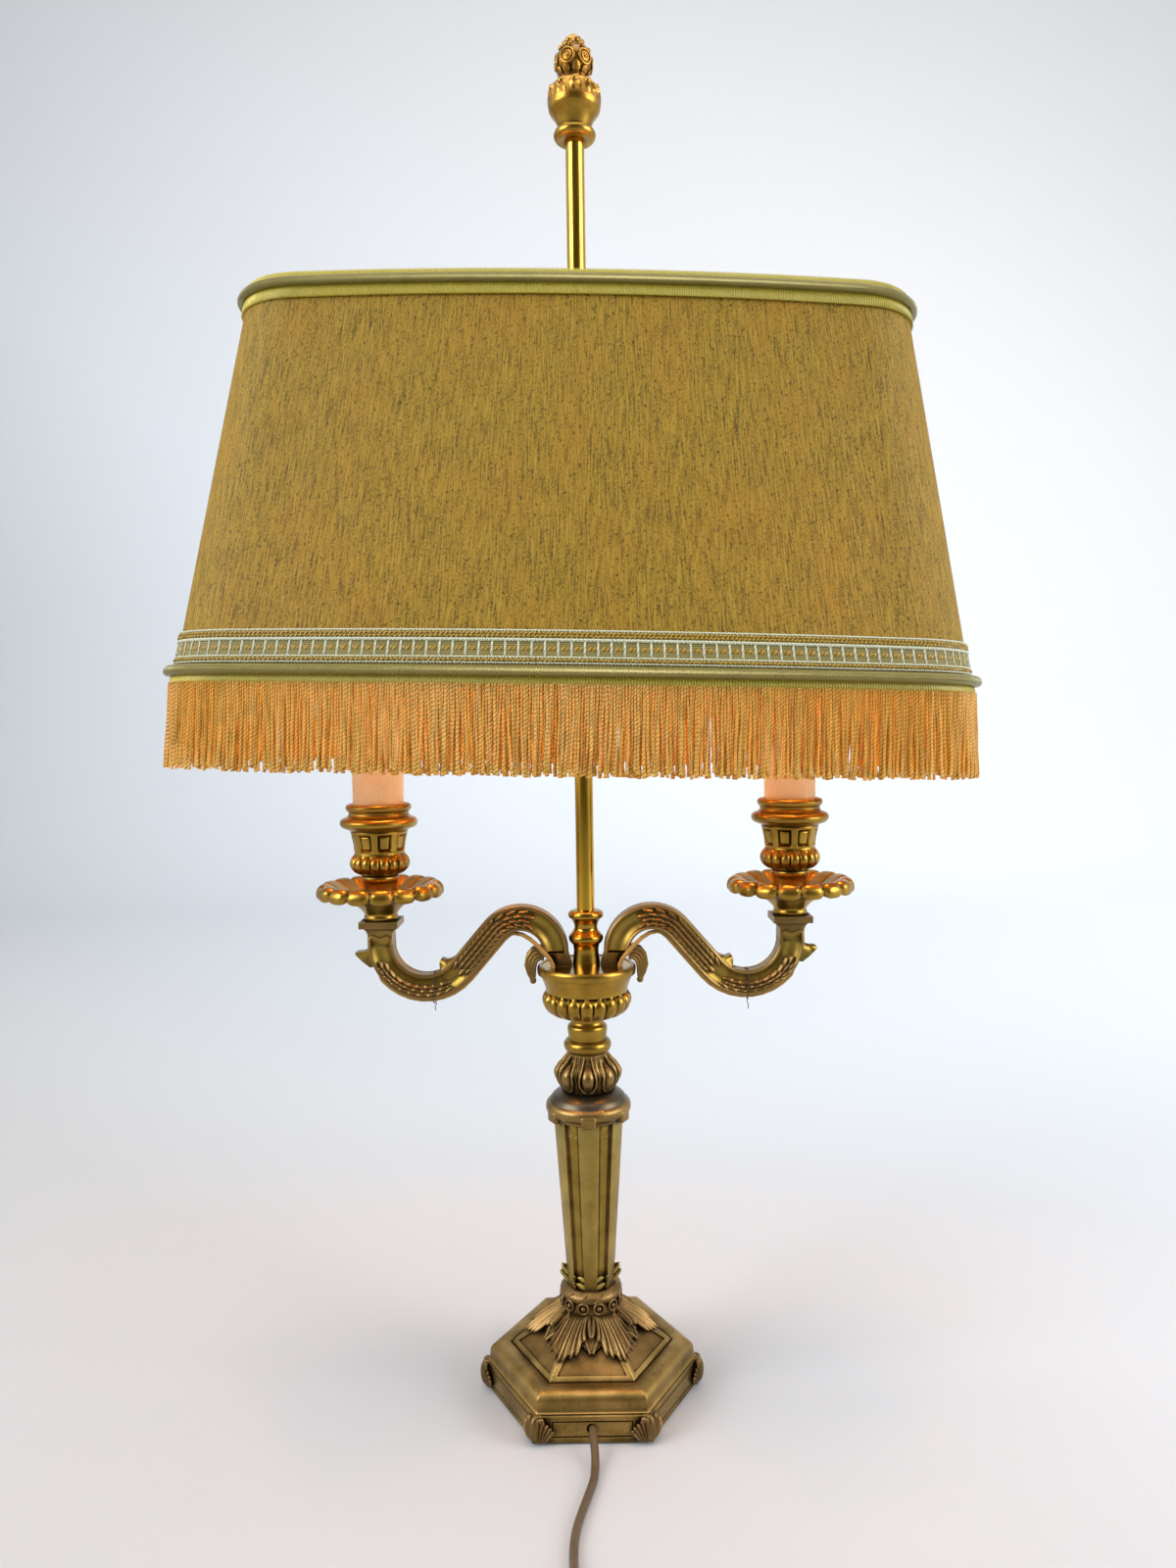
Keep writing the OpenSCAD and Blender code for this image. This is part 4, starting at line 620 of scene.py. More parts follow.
def turned(
    profile: Points,
    steps: int = 96,
    rule: Optional[Rule] = None,
    closed: bool = False,
    at: Triple = (0.0, 0.0, 0.0),
) -> bmesh.types.BMesh:
    """Turns a profile about the upright axis, then carves it.

    Args:
        profile: Radius and height of its points; only the first and the last may be on the axis.
        steps: Faces round it.
        rule: Gives the new radius and height for an angle, radius and height.
        closed: Whether the profile's last point joins its first.
        at: Where the finished body goes.

    Returns:
        The body.
    """
    bm = bmesh.new()
    points = [*profile, profile[0]] if closed else list(profile)
    begin = 0 if points[0][0] > 0 else 1
    bmesh.ops.create_circle(bm, segments=steps, radius=points[begin][0])
    bmesh.ops.translate(bm, vec=(0, 0, points[begin][1]), verts=bm.verts)
    first = bm.edges[:]
    runs = [(first, points[begin:])]
    if begin:
        runs.append((first, [points[1], points[0]]))
    for edges, run in runs:
        for (old, _), (new, z) in zip(run, run[1:]):
            spots, edges = pull(bm, edges)
            for v in spots:
                v.co = (v.co.x * new / old, v.co.y * new / old, z)
    bmesh.ops.remove_doubles(bm, verts=bm.verts, dist=0.003)
    if rule:
        for v in bm.verts:
            r = math.hypot(v.co.x, v.co.y)
            if r > 0.01:
                new, z = rule(math.atan2(v.co.y, v.co.x), r, v.co.z)
                v.co = (v.co.x * new / r, v.co.y * new / r, z)
    bmesh.ops.translate(bm, vec=at, verts=bm.verts)
    return bm


def stamp(bm: bmesh.types.BMesh, part: bmesh.types.BMesh, places: Sequence[Matrix] = (Matrix(),)) -> None:
    """Adds a copy of a part to bm at each place and frees the part."""
    die = bpy.data.meshes.new("die")
    part.to_mesh(die)
    part.free()
    for place in places:
        copy = die.copy()
        copy.transform(place)
        bm.from_mesh(copy, face_normals=False, vertex_normals=False)
        bpy.data.meshes.remove(copy)
    bpy.data.meshes.remove(die)


def multiply(bm: bmesh.types.BMesh, count: int, doubles: int, step: float) -> None:
    """Repeats all of bm round the upright axis.

    Args:
        bm: The mesh.
        count: How many copies one spin makes.
        doubles: How often these are doubled then.
        step: The angle from copy to copy.
    """
    every = bm.verts[:] + bm.edges[:] + bm.faces[:]
    turn = {"cent": (0, 0, 0), "axis": (0, 0, 1), "angle": step * (count - 1), "steps": count - 1}
    bmesh.ops.spin(bm, geom=every, use_merge=False, use_duplicate=True, **turn)
    for k in range(doubles):
        made = bmesh.ops.duplicate(bm, geom=bm.verts[:] + bm.edges[:] + bm.faces[:])["geom"]
        spots = [g for g in made if isinstance(g, bmesh.types.BMVert)]
        bmesh.ops.rotate(bm, cent=(0, 0, 0), matrix=Matrix.Rotation(step * count * 2**k, 3, "Z"), verts=spots)


def spin_round(place: Matrix, count: int, offset: float = 0.0) -> list[Matrix]:
    """Returns place turned to count equal stations about the lamp's axis."""
    return [Matrix.Rotation(math.radians(offset) + math.tau * i / count, 4, "Z") @ place for i in range(count)]


def across(x: float, y: float) -> float:
    """Returns how far out a point is towards the nearest side of the hexagonal foot."""
    sides = (math.radians(30 + 60 * k) for k in range(6))
    return max(x * math.cos(a) + y * math.sin(a) for a in sides)


def off_centre(angle: float, count: int, offset: float = 0.0) -> float:
    """Returns how far an angle is from the nearest of count stations, in radians."""
    step = math.tau / count
    return (angle - math.radians(offset) + step / 2) % step - step / 2


def framed(origin: Sequence[float], along: Sequence[float], normal: Sequence[float]) -> Matrix:
    """Returns a place at origin whose X runs along and whose Z is near normal."""
    x = Vector(along).normalized()
    z = Vector(normal)
    z = (z - z.dot(x) * x).normalized()
    return Matrix.Translation(origin) @ Matrix((x, z.cross(x), z)).transposed().to_4x4()


def finger(
    length: float, width: float, height: float, curl: float = 0.0, aside: float = 0.0, taper: float = 0.5
) -> bmesh.types.BMesh:
    """Carves one finger of a leaf, along X and facing Z.

    Args:
        length: Its length.
        width: Its width.
        height: Its thickness at the ridge.
        curl: How far its tip lifts, as a share of its length.
        aside: How far its tip lies to the side.
        taper: How much it narrows towards the tip, or widens if negative.

    Returns:
        The finger.
    """
    bm = bmesh.new()
    lying = Matrix.Rotation(math.pi / 2, 4, "Y")
    bmesh.ops.create_uvsphere(bm, u_segments=8, v_segments=9, radius=1, matrix=lying)
    for v in bm.verts:
        s = (v.co.x + 1) / 2
        v.co = (
            length * (s - 0.2 * curl * curl * s**4),
            v.co.y * (1 - taper * (s - 0.3)) * width / 2 + aside * s**1.7,
            v.co.z * (1 - 0.7 * abs(v.co.y)) * height / 2 + length * curl * s**2.6,
        )
    return bm


def acanthus(length: float, width: float, tips: Points, rise: float, curl: float = 0.05) -> bmesh.types.BMesh:
    """Carves an acanthus leaf: lobes of three ridges each, which part from its middle and curve outwards.

    Args:
        length: Its length.
        width: Its width.
        tips: Where its lobes end, along and across, as shares; the other half is mirrored.
        rise: The thickness of a finger.
        curl: How far the tips lift, as a share of the length.

    Returns:
        The leaf, which runs along X and faces Z.
    """
    bm = finger(length * 0.84, width * 0.8, rise * 0.36, curl, 0, -0.5)
    for number, (along, across) in enumerate(tips):
        for side in (-1, 1) if across else (1,):
            for ridge in (-1, 0, 1):
                root = side * across * 0.3 * width + ridge * 0.07 * width
                tip = (side * across + 0.27 * ridge) * width / 2
                reach = length * (along - 0.05 * abs(ridge) - 0.05 * ridge * side * across)
                made = finger(reach, width * 0.14, rise - 0.7 * abs(ridge), curl, tip - root, -0.6)
                stamp(bm, made, [Matrix.Translation((0, root, -0.2 * number))])
    return bm


BROAD = ((1.0, 0.0), (0.86, 0.64), (0.5, 1.0))
NARROW = ((0.8, 0.5), (0.5, 0.8))


def swept(
    path: Sequence[Sequence[float]], radius: float, sides: int = 8, end: float = 1.0
) -> bmesh.types.BMesh:
    """Sweeps a round section along a path.

    Args:
        path: The points that its middle follows.
        radius: Its radius at the start.
        sides: Faces round it.
        end: Its radius at the end, as a share of the start's.

    Returns:
        The tube, closed at both ends.
    """
    bm = bmesh.new()
    points = [Vector(p) for p in path]
    last = len(points) - 1
    up = Vector((0.13, 0.31, 0.94))
    places = []
    for i, p in enumerate(points):
        along = (points[min(i + 1, last)] - points[max(i - 1, 0)]).normalized()
        up = (up - up.dot(along) * along).normalized()
        places.append(framed(p, up, along) @ Matrix.Scale(1 + (end - 1) * i / last, 4))
    bmesh.ops.create_circle(bm, cap_ends=True, radius=radius, segments=sides, matrix=places[0])
    edges = bm.edges[:]
    for old, new in zip(places, places[1:]):
        ring, edges = pull(bm, edges)
        bmesh.ops.transform(bm, matrix=new @ old.inverted(), verts=ring)
    bmesh.ops.edgeloop_fill(bm, edges=edges)
    return bm


@dataclass
class Studio:
    """A plain pale room: the camera of the photograph, soft light and a floor that curves up."""

    eye: Triple = (2.3, -600.0, 378.0)
    focal: float = 24.95
    tilt: float = 3.3
    roll: float = 0.8

    def camera(self) -> None:
        """Sets the camera at the photograph's place."""
        data = bpy.data.cameras.new("camera")
        data.lens = self.focal
        data.sensor_width = 36
        data.clip_start = 0.01
        eye = bpy.data.objects.new("camera", data)
        bpy.context.scene.collection.objects.link(eye)
        aim = Matrix.Rotation(math.radians(90 - self.tilt), 4, "X") @ Matrix.Rotation(math.radians(-self.roll), 4, "Z")
        eye.matrix_world = Matrix.Translation(Vector(self.eye) * MM) @ aim
        bpy.context.scene.camera = eye

    def lamp(self, name: str, at: Triple, size: float, power: float, colour: str) -> None:
        """Adds one soft light that points at the lamp's middle.

        Args:
            name: Its name.
            at: Its place in metres.
            size: The width of its square in metres.
            power: Its power in watts.
            colour: Its colour.
        """
        data = bpy.data.lights.new(name, "AREA")
        data.size = size
        data.energy = power
        data.color = linear(colour)[:3]
        light = bpy.data.objects.new(name, data)
        bpy.context.scene.collection.objects.link(light)
        light.location = at
        light.rotation_euler = (Vector((0, 0, 0.38)) - Vector(at)).to_track_quat("-Z", "Y").to_euler()

    def light(self) -> None:
        """Adds the soft lights and the pale room round them."""
        self.lamp("window_left", (-1.7, -0.9, 1.3), 1.3, 43, "#f6f8ff")
        self.lamp("window_right", (1.9, -0.7, 1.1), 1.3, 37, "#fbfaff")
        self.lamp("ceiling", (0.0, -0.2, 2.3), 1.6, 20, "#ffffff")
        world = bpy.data.worlds.new("pale_room")
        bpy.context.scene.world = world
        world.use_nodes = True
        tree = world.node_tree
        way = add(tree, "ShaderNodeTexCoord").outputs["Generated"]
        depth = add(tree, "ShaderNodeSeparateXYZ", {"Vector": way}).outputs["Y"]
        span = {"Value": depth, "From Min": -0.9, "From Max": -0.35}
        share = add(tree, "ShaderNodeMapRange", span, interpolation_type="SMOOTHSTEP").outputs[0]
        room = add(tree, "ShaderNodeMix", {0: share, 6: "#5d574c", 7: "#e8ebee"}, data_type="RGBA").outputs[2]
        tree.links.new(room, tree.nodes["Background"].inputs["Color"])
        tree.nodes["Background"].inputs["Strength"].default_value = 1.0

    def backdrop(self) -> None:
        """Adds the floor and the wall behind it as one curved sheet."""
        bm = bmesh.new()
        bend = [
            (1.6 + 0.7 * math.sin(math.radians(a)), 0.7 - 0.7 * math.cos(math.radians(a))) for a in range(0, 91, 9)
        ]
        line = [(-3.0, 0.0), *bend, (2.3, 3.6)]
        spots = [bm.verts.new((-4, y, z)) for y, z in line]
        rail = [bm.edges.new(pair) for pair in zip(spots, spots[1:])]
        made = bmesh.ops.extrude_edge_only(bm, edges=rail)["geom"]
        bmesh.ops.translate(bm, vec=(8, 0, 0), verts=[g for g in made if isinstance(g, bmesh.types.BMVert)])
        bmesh.ops.recalc_face_normals(bm, faces=bm.faces)
        mesh = bpy.data.meshes.new("backdrop")
        bm.to_mesh(mesh)
        bm.free()
        mesh.shade_smooth()
        sheet = bpy.data.objects.new("backdrop", mesh)
        bpy.context.scene.collection.objects.link(sheet)
        mesh.materials.append(PAPER_PAINTED_FALLOFF.material())


@dataclass
class CordSet:
    """The mains cord on the table: lead, switch, stored coil and plug."""

    width: float = 4.2
    length: float = 1800.0
    exit: Triple = (0.1, -52.0, 8.3)
    coil: tuple[float, float] = (19.7, -268.0)
    columns: Triple = (19.3, 23.5, 27.7)
    lead: tuple = (
        (0, -36, 8.4),
        (0, -45, 8.4),
        (0.2, -53, 8.2),
        (0.6, -59, 7.0),
        (1, -64, 5.2),
        (1.2, -69, 3.7),
        (1, -75, 2.3),
        (0.4, -81, 2.15),
        (-1.8, -90, 2.15),
        (-4.5, -100, 2.15),
        (-7, -110, 2.15),
        (-8.6, -120, 2.15),
        (-9, -130, 2.2),
        (-8.8, -138, 3.1),
        (-8.4, -145, 4.9),
        (-8.1, -150, 6.3),
        (-8, -154, 7),
        (-8, -180, 7),
        (-8, -208, 7),
    )
    link: tuple = (
        (-8, -234, 7),
        (-8, -239, 6.2),
        (-8, -245, 4.4),
        (-8, -250, 3),
        (-8, -256, 2.25),
        (-8, -261, 2.15),
    )
    tail: tuple = (
        (43.3, -260, 14.7),
        (44.6, -254, 14.4),
        (47.8, -249.2, 13),
        (52.4, -245.9, 10.8),
        (57.8, -244.2, 8.6),
        (63, -243.6, 7.3),
        (68, -243.6, 7),
        (84, -243.6, 7),
    )

    def winding(self) -> list[Triple]:
        """Returns the coil's points: three turns to a layer, in, out and in again, and a last one and a half."""
        inner, middle, outer = self.columns
        cells = [outer, middle, inner, inner, middle, outer, outer, middle, inner, inner, middle]
        levels = [0, 0, 0, 1, 1, 1, 2, 2, 2, 3, 3]
        leaves = [5, 5, 5, 4, 4, 4, 3, 3, 3, 3]  # sixths of a turn after which the cord moves on
        points = []
        for k in range(int(10.5 * 18) + 1):
            t = k / 18
            turn = min(int(t), 10)
            share = 0.0
            if turn < 10:
                share = min(max((t - turn - leaves[turn] / 6) * 6, 0.0), 1.0)
                share = share * share * (3 - 2 * share)
            after = min(turn + 1, 10)
            r = cells[turn] + (cells[after] - cells[turn]) * share
            z = self.width * (0.5 + levels[turn] + (levels[after] - levels[turn]) * share) + 0.05
            a = math.pi + math.tau * t
            points.append((self.coil[0] + r * math.cos(a), self.coil[1] + r * math.sin(a), z))
        return points

    def build(self) -> None:
        """Builds the cord as one curve, its tie, and dresses the switch and the plug."""
        route = [*self.lead, *self.link, *self.winding(), *self.tail]
        curve = bpy.data.curves.new("mains_cord", "CURVE")
        curve.dimensions = "3D"
        curve.bevel_depth = self.width / 2 * MM
        curve.bevel_resolution = 3
        curve.resolution_u = 3
        curve.use_fill_caps = True
        line = curve.splines.new("BEZIER")
        line.bezier_points.add(len(route) - 1)
        for point, spot in zip(line.bezier_points, route):
            point.co = Vector(spot) * MM
            point.handle_left_type = point.handle_right_type = "AUTO"
        cord = bpy.data.objects.new("mains_cord", curve)
        bpy.context.scene.collection.objects.link(cord)
        curve.materials.append(CORD.material())
        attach(cord, Body.STAND.value)
        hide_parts("cord_lead", "cord_link", "cord_coil", "cord_end")
        tie = self.tie()
        switch = settle(softened("switch_body", 1.3, 40), "switch_case", Body.STAND, [SWITCH], ["switch_body"])
        plug = settle(softened("plug_body", 1.2, 30), "plug_case", Body.STAND, [CORD], ["plug_body"])
        rocker = settle(softened("switch_rocker", 0.5, 50), "rocker_key", Body.ROCKER, [ROCKER], ["switch_rocker"])
        dress(NICKEL, "plug_pins")
        LOG.info("mains_cord: %d points", len(route))

    def tie(self) -> bpy.types.Object:
        """Builds the strap that holds the coil together."""
        r0, r1, top = self.columns[0] - 2.6, self.columns[2] + 2.6, 4 * self.width + 0.5
        loop = [
            (r0, 0.6), (r0, top - 1.2), (r0 + 1.2, top), (r1 - 1.2, top), (r1, top - 1.2), (r1, 0.6), (r1 - 0.6, 0.35),
            (r0 + 0.6, 0.35),
        ]
        bm = bmesh.new()
        spots = [bm.verts.new((r, -2.0, z)) for r, z in loop]
        face = bm.faces.new(spots)
        edges = list(face.edges)
        bmesh.ops.delete(bm, geom=[face], context="FACES_ONLY")
        made = bmesh.ops.extrude_edge_only(bm, edges=edges)["geom"]
        bmesh.ops.translate(bm, vec=(0, 4, 0), verts=[g for g in made if isinstance(g, bmesh.types.BMVert)])
        bmesh.ops.recalc_face_normals(bm, faces=bm.faces)
        bmesh.ops.solidify(bm, geom=bm.faces[:], thickness=0.35)
        place = Matrix.Translation((self.coil[0], self.coil[1], 0)) @ Matrix.Rotation(math.radians(-60), 4, "Z")
        bmesh.ops.transform(bm, matrix=place, verts=bm.verts)
        return settle(bm, "coil_tie", Body.STAND, [NYLON])


@dataclass
class Base:
    """The hexagonal foot with its corner leaves and the collar of acanthus."""

    side: float = 51.96
    plinth_z: float = 15.5
    shoulder_z: float = 26.2
    frame_at: tuple[float, float] = (39.21, 26.3)
    top_at: tuple[float, float] = (14.0, 46.5)
    rail: float = 3.6
    panel: tuple[float, float, float] = (42.8, 3.9, 12.8)
    hole: Triple = (-0.5, 8.7, 2.7)
    corner: float = 58.8
    corner_r: float = 7.4
    pyramid_z: float = 46.5
    hip: float = 34.8
    slope: float = 38.7
    leaf_start: float = 14.5
    leaf_reach: float = 38.0
    rosette_z: float = 53.1
    rosette_at: float = 16.3

    def build(self) -> None:
        """Builds the casting, its corners and its collar, and dresses the felt and the plate."""
        self.casting()
        self.corners()
        self.collar()
        dress(FELT, "felt_pad")
        dress(ZINC, "base_plate", "tie_tube", "tie_nuts")
        dress(PORCELAIN, "terminal_block", "splice_caps")
        dress(LEAD, "inner_leads")

    def casting(self) -> None:
        """Builds the hollow six-sided casting: plinth, shoulder, frame and pyramid, with their panels."""
        (fa, fz), (ta, tz), s, p = self.frame_at, self.top_at, self.side, self.plinth_z
        face, centre = s - 1.8, self.shoulder_z - 5.3
        outside = [(s, 1.2), (s, p - 0.4), (s - 0.4, p), (s - 0.9, p + 0.2), (s - 1.7, p + 0.3), (s - 1.7, p + 0.7)]
        for a in (math.radians(15 * k) for k in range(7)):
            outside.append((face + 1.4 * (1 - math.sin(a)), p + 0.9 + 4.5 * (1 - math.cos(a))))
        for a in (math.radians(11 + 79 * k / 8) for k in range(9)):
            outside.append((face - 5.3 + 5.3 * math.cos(a), centre + 5.3 * math.sin(a)))
        outside += [(fa + 1.4, self.shoulder_z), (fa + 0.9, self.shoulder_z - 0.3), (fa + 0.7, fz - 1.0), (fa, fz - 1.0),
                    (fa, fz - 0.5), (fa - 0.5, fz + 0.4), (ta, tz)]
        inside = [(7.0, tz), (7.0, tz - 4), (ta - 2, tz - 3.9), (fa - 2.2, fz - 3.7), (s - 9.4, p + 5.2), (s - 6, p + 3.8),
                  (s - 3.4, p - 1.5), (s - 3.4, 1.2)]
        wide = 1 / math.cos(math.radians(30))
        bm = turned([(a * wide, z) for a, z in [*outside, *inside]], 6, closed=True)
        bmesh.ops.rotate(bm, cent=(0, 0, 0), matrix=Matrix.Rotation(math.pi / 6, 3, "Z"), verts=bm.verts)
        hips = [e for e in bm.edges if abs(off_centre(math.atan2(e.verts[0].co.y, e.verts[0].co.x)
                                                      - math.atan2(e.verts[1].co.y, e.verts[1].co.x), 1)) < 0.01]
        hips = [e for e in hips if min(across(v.co.x, v.co.y) for v in e.verts) > ta - 0.1]
        bmesh.ops.bevel(bm, geom=hips, offset=0.45, segments=2, profile=0.5, affect="EDGES", clamp_overlap=False, material=-1)
        bm.normal_update()
        fields = [f for f in bm.faces if 30 < f.calc_center_median().z < 44 and f.calc_area() > 300 and f.normal.z > 0]
        bmesh.ops.inset_individual(bm, faces=fields, thickness=self.rail, depth=0.0)
        bmesh.ops.inset_individual(bm, faces=fields, thickness=0.4, depth=-0.9)
        # the sunk fields take the darker finish: painted shade in the recesses
        for f in fields:
            f.material_index = 1
        plates = [f for f in bm.faces if f.calc_area() > 500 and abs(f.normal.z) < 0.1
                  and across(*f.calc_center_median().xy) > s - 0.5]
        self.panels(bm, plates)
        settle(bm, "base_casting", Body.STAND, [GILT_BASE, GILT_FIELD_PAINTED_SHADE], ["base_cover"], 30)

    def panels(self, bm: bmesh.types.BMesh, plates: list) -> None:
        """Cuts the groove of each plinth panel, and the cord's hole in the front one.

        Args:
            bm: The casting.
            plates: The plinth's outer faces.
        """
        half, low, high = self.panel[0] / 2, self.panel[1], self.panel[2]
        bmesh.ops.inset_individual(bm, faces=plates, thickness=2.0, depth=0.0)
        for f in plates:
            mid, along = f.calc_center_median(), f.normal.cross((0, 0, 1))
            for v in f.verts:
                shift = (v.co - mid).dot(along)
                v.co += along * (math.copysign(half, shift) - shift)
                v.co.z = low if v.co.z < mid.z else high
        for thickness, depth in ((0.15, -0.8), (0.9, 0.0), (0.15, 0.8)):
            bmesh.ops.inset_individual(bm, faces=plates, thickness=thickness, depth=depth)
        front = min(plates, key=lambda f: f.calc_center_median().y)
        rim = list(front.edges)
        y = front.calc_center_median().y
        bmesh.ops.delete(bm, geom=[front], context="FACES_ONLY")
        cut = bmesh.ops.subdivide_edges(bm, edges=rim, cuts=3)["geom_inner"]
        rim = list({e for v in cut if isinstance(v, bmesh.types.BMVert) for e in v.link_edges if len(e.link_faces) == 1})
        place = Matrix.Translation((self.hole[0], y, self.hole[1])) @ Matrix.Rotation(math.pi / 2, 4, "X")
        spots = bmesh.ops.create_circle(bm, segments=16, radius=self.hole[2], matrix=place)["verts"]
        ring = list({e for v in spots for e in v.link_edges})
        bmesh.ops.triangle_fill(bm, use_beauty=True, normal=(0, -1, 0), edges=rim + ring)
        spots, ring = pull(bm, ring)
        bmesh.ops.translate(bm, vec=(0, 3.2, 0), verts=spots)
        bmesh.ops.edgeloop_fill(bm, edges=ring)

    def corners(self) -> None:
        """Builds the carved leaf that wraps each corner of the plinth."""
        r = self.corner_r
        lump = [(0, 1.9), (0.6 * r, 2.0), (0.78 * r, 4.2), (0.86 * r, 7.2), (0.86 * r, 10.5), (0.74 * r, 13.6),
                (0.5 * r, 15.6), (0, 16.4)]
        bm = turned(rounded(lump, 1.2), 32)
        bmesh.ops.scale(bm, vec=(0.85, 0.5, 1), verts=bm.verts)
        for side in (-1, 1):
            out = Vector((math.cos(math.radians(30)), side * 0.5, 0))
            along = Vector((-0.5, side * math.cos(math.radians(30)), 0))
            for k in range(5):
                a = math.radians(-4 + 8.5 * k)
                way = Vector((0, 0, math.cos(a))) + along * math.sin(a)
                root = Vector((0.2, 0, 2.0)) + out * 2.8 + along * (0.4 + 0.75 * k)
                stamp(bm, finger(13.6 - 1.3 * k, 3.3, 3.4, 0.08, -side * 1.4, -0.3), [framed(root, way, out)])
            curl = bmesh.new()
            bmesh.ops.create_icosphere(curl, subdivisions=2, radius=1.7)
            stamp(bm, curl, [Matrix.Translation(out * 3.2 + along * 2.2 + Vector((0, 0, 14.2)))])
        whole = bmesh.new()
        stamp(whole, bm, spin_round(Matrix.Translation((self.corner - 0.6, 0, 0)), 6))
        settle(whole, "corner_leaves", Body.STAND, [GILT_LEAF], ["corner_ornaments"], 60)

    def collar(self) -> None:
        """Builds the ring of rosettes and the large and small leaves that fall from it."""
        bm = bmesh.new()
        profile = [(0, 0), (15.1, 0), (16.3, 2.4), (16.5, 5.4), (15.9, 8.2), (16.9, 9), (17.5, 10.6), (17.1, 12.2),
                   (15.5, 13.8), (13.8, 15), (0, 15)]
        stamp(bm, turned(rounded(profile), 96, at=(0, 0, self.pyramid_z)))
        stations = spin_round(
            Matrix.Translation((self.rosette_at, 0, self.rosette_z)) @ Matrix.Rotation(math.pi / 2, 4, "Y"), 12, 15
        )
        ring = [(2.9 + 0.75 * math.cos(a), 0.6 + 0.75 * math.sin(a)) for a in (math.tau * k / 8 for k in range(8))]
        stamp(bm, turned(ring, 18, closed=True), stations)
        stamp(bm, turned([(0, 1.9), (1.0, 1.6), (1.6, 0.6), (1.5, -0.4), (0, -0.6)], 12), stations)
        long_ = (self.leaf_reach - self.leaf_start) / math.cos(math.radians(self.hip))
        down = Matrix.Rotation(math.radians(self.slope), 4, "Y")
        root = Matrix.Translation((self.leaf_start - 1.6, 0, self.pyramid_z + 1.0)) @ down
        tongue = acanthus(long_ * 0.8, 13, NARROW, 3.2)
        for side in (-1, 1):
            loop = ((0, 0.7), (3, 3.6), (7, 5.0), (11, 4.6), (15, 2.9), (18, 1.4), (20.5, 0.7))
            stamp(tongue, swept([(x, side * y, 2.0 - 0.05 * x) for x, y in loop], 1.3, 8, 0.7))
        stamp(bm, tongue, spin_round(root, 6, 30))
        down = Matrix.Rotation(math.radians(self.hip), 4, "Y")
        root = Matrix.Translation((self.leaf_start - 1.2, 0, self.pyramid_z + 2.4)) @ down
        stamp(bm, acanthus(long_ + 1, 19.5, BROAD, 4.2, 0.03), spin_round(root, 6))
        wrap = Matrix.Translation((16.6, -3.2, self.pyramid_z + 9.2)) @ framed((0, 0, 0), (-0.2, 0.75, 0.55), (1, 0, 0.4))
        stamp(bm, finger(7.5, 3.2, 3.4, 0.05), spin_round(wrap, 12, 15))
        settle(bm, "leaf_collar_carved", Body.STAND, [GILT_LEAF], ["leaf_collar"], 50)


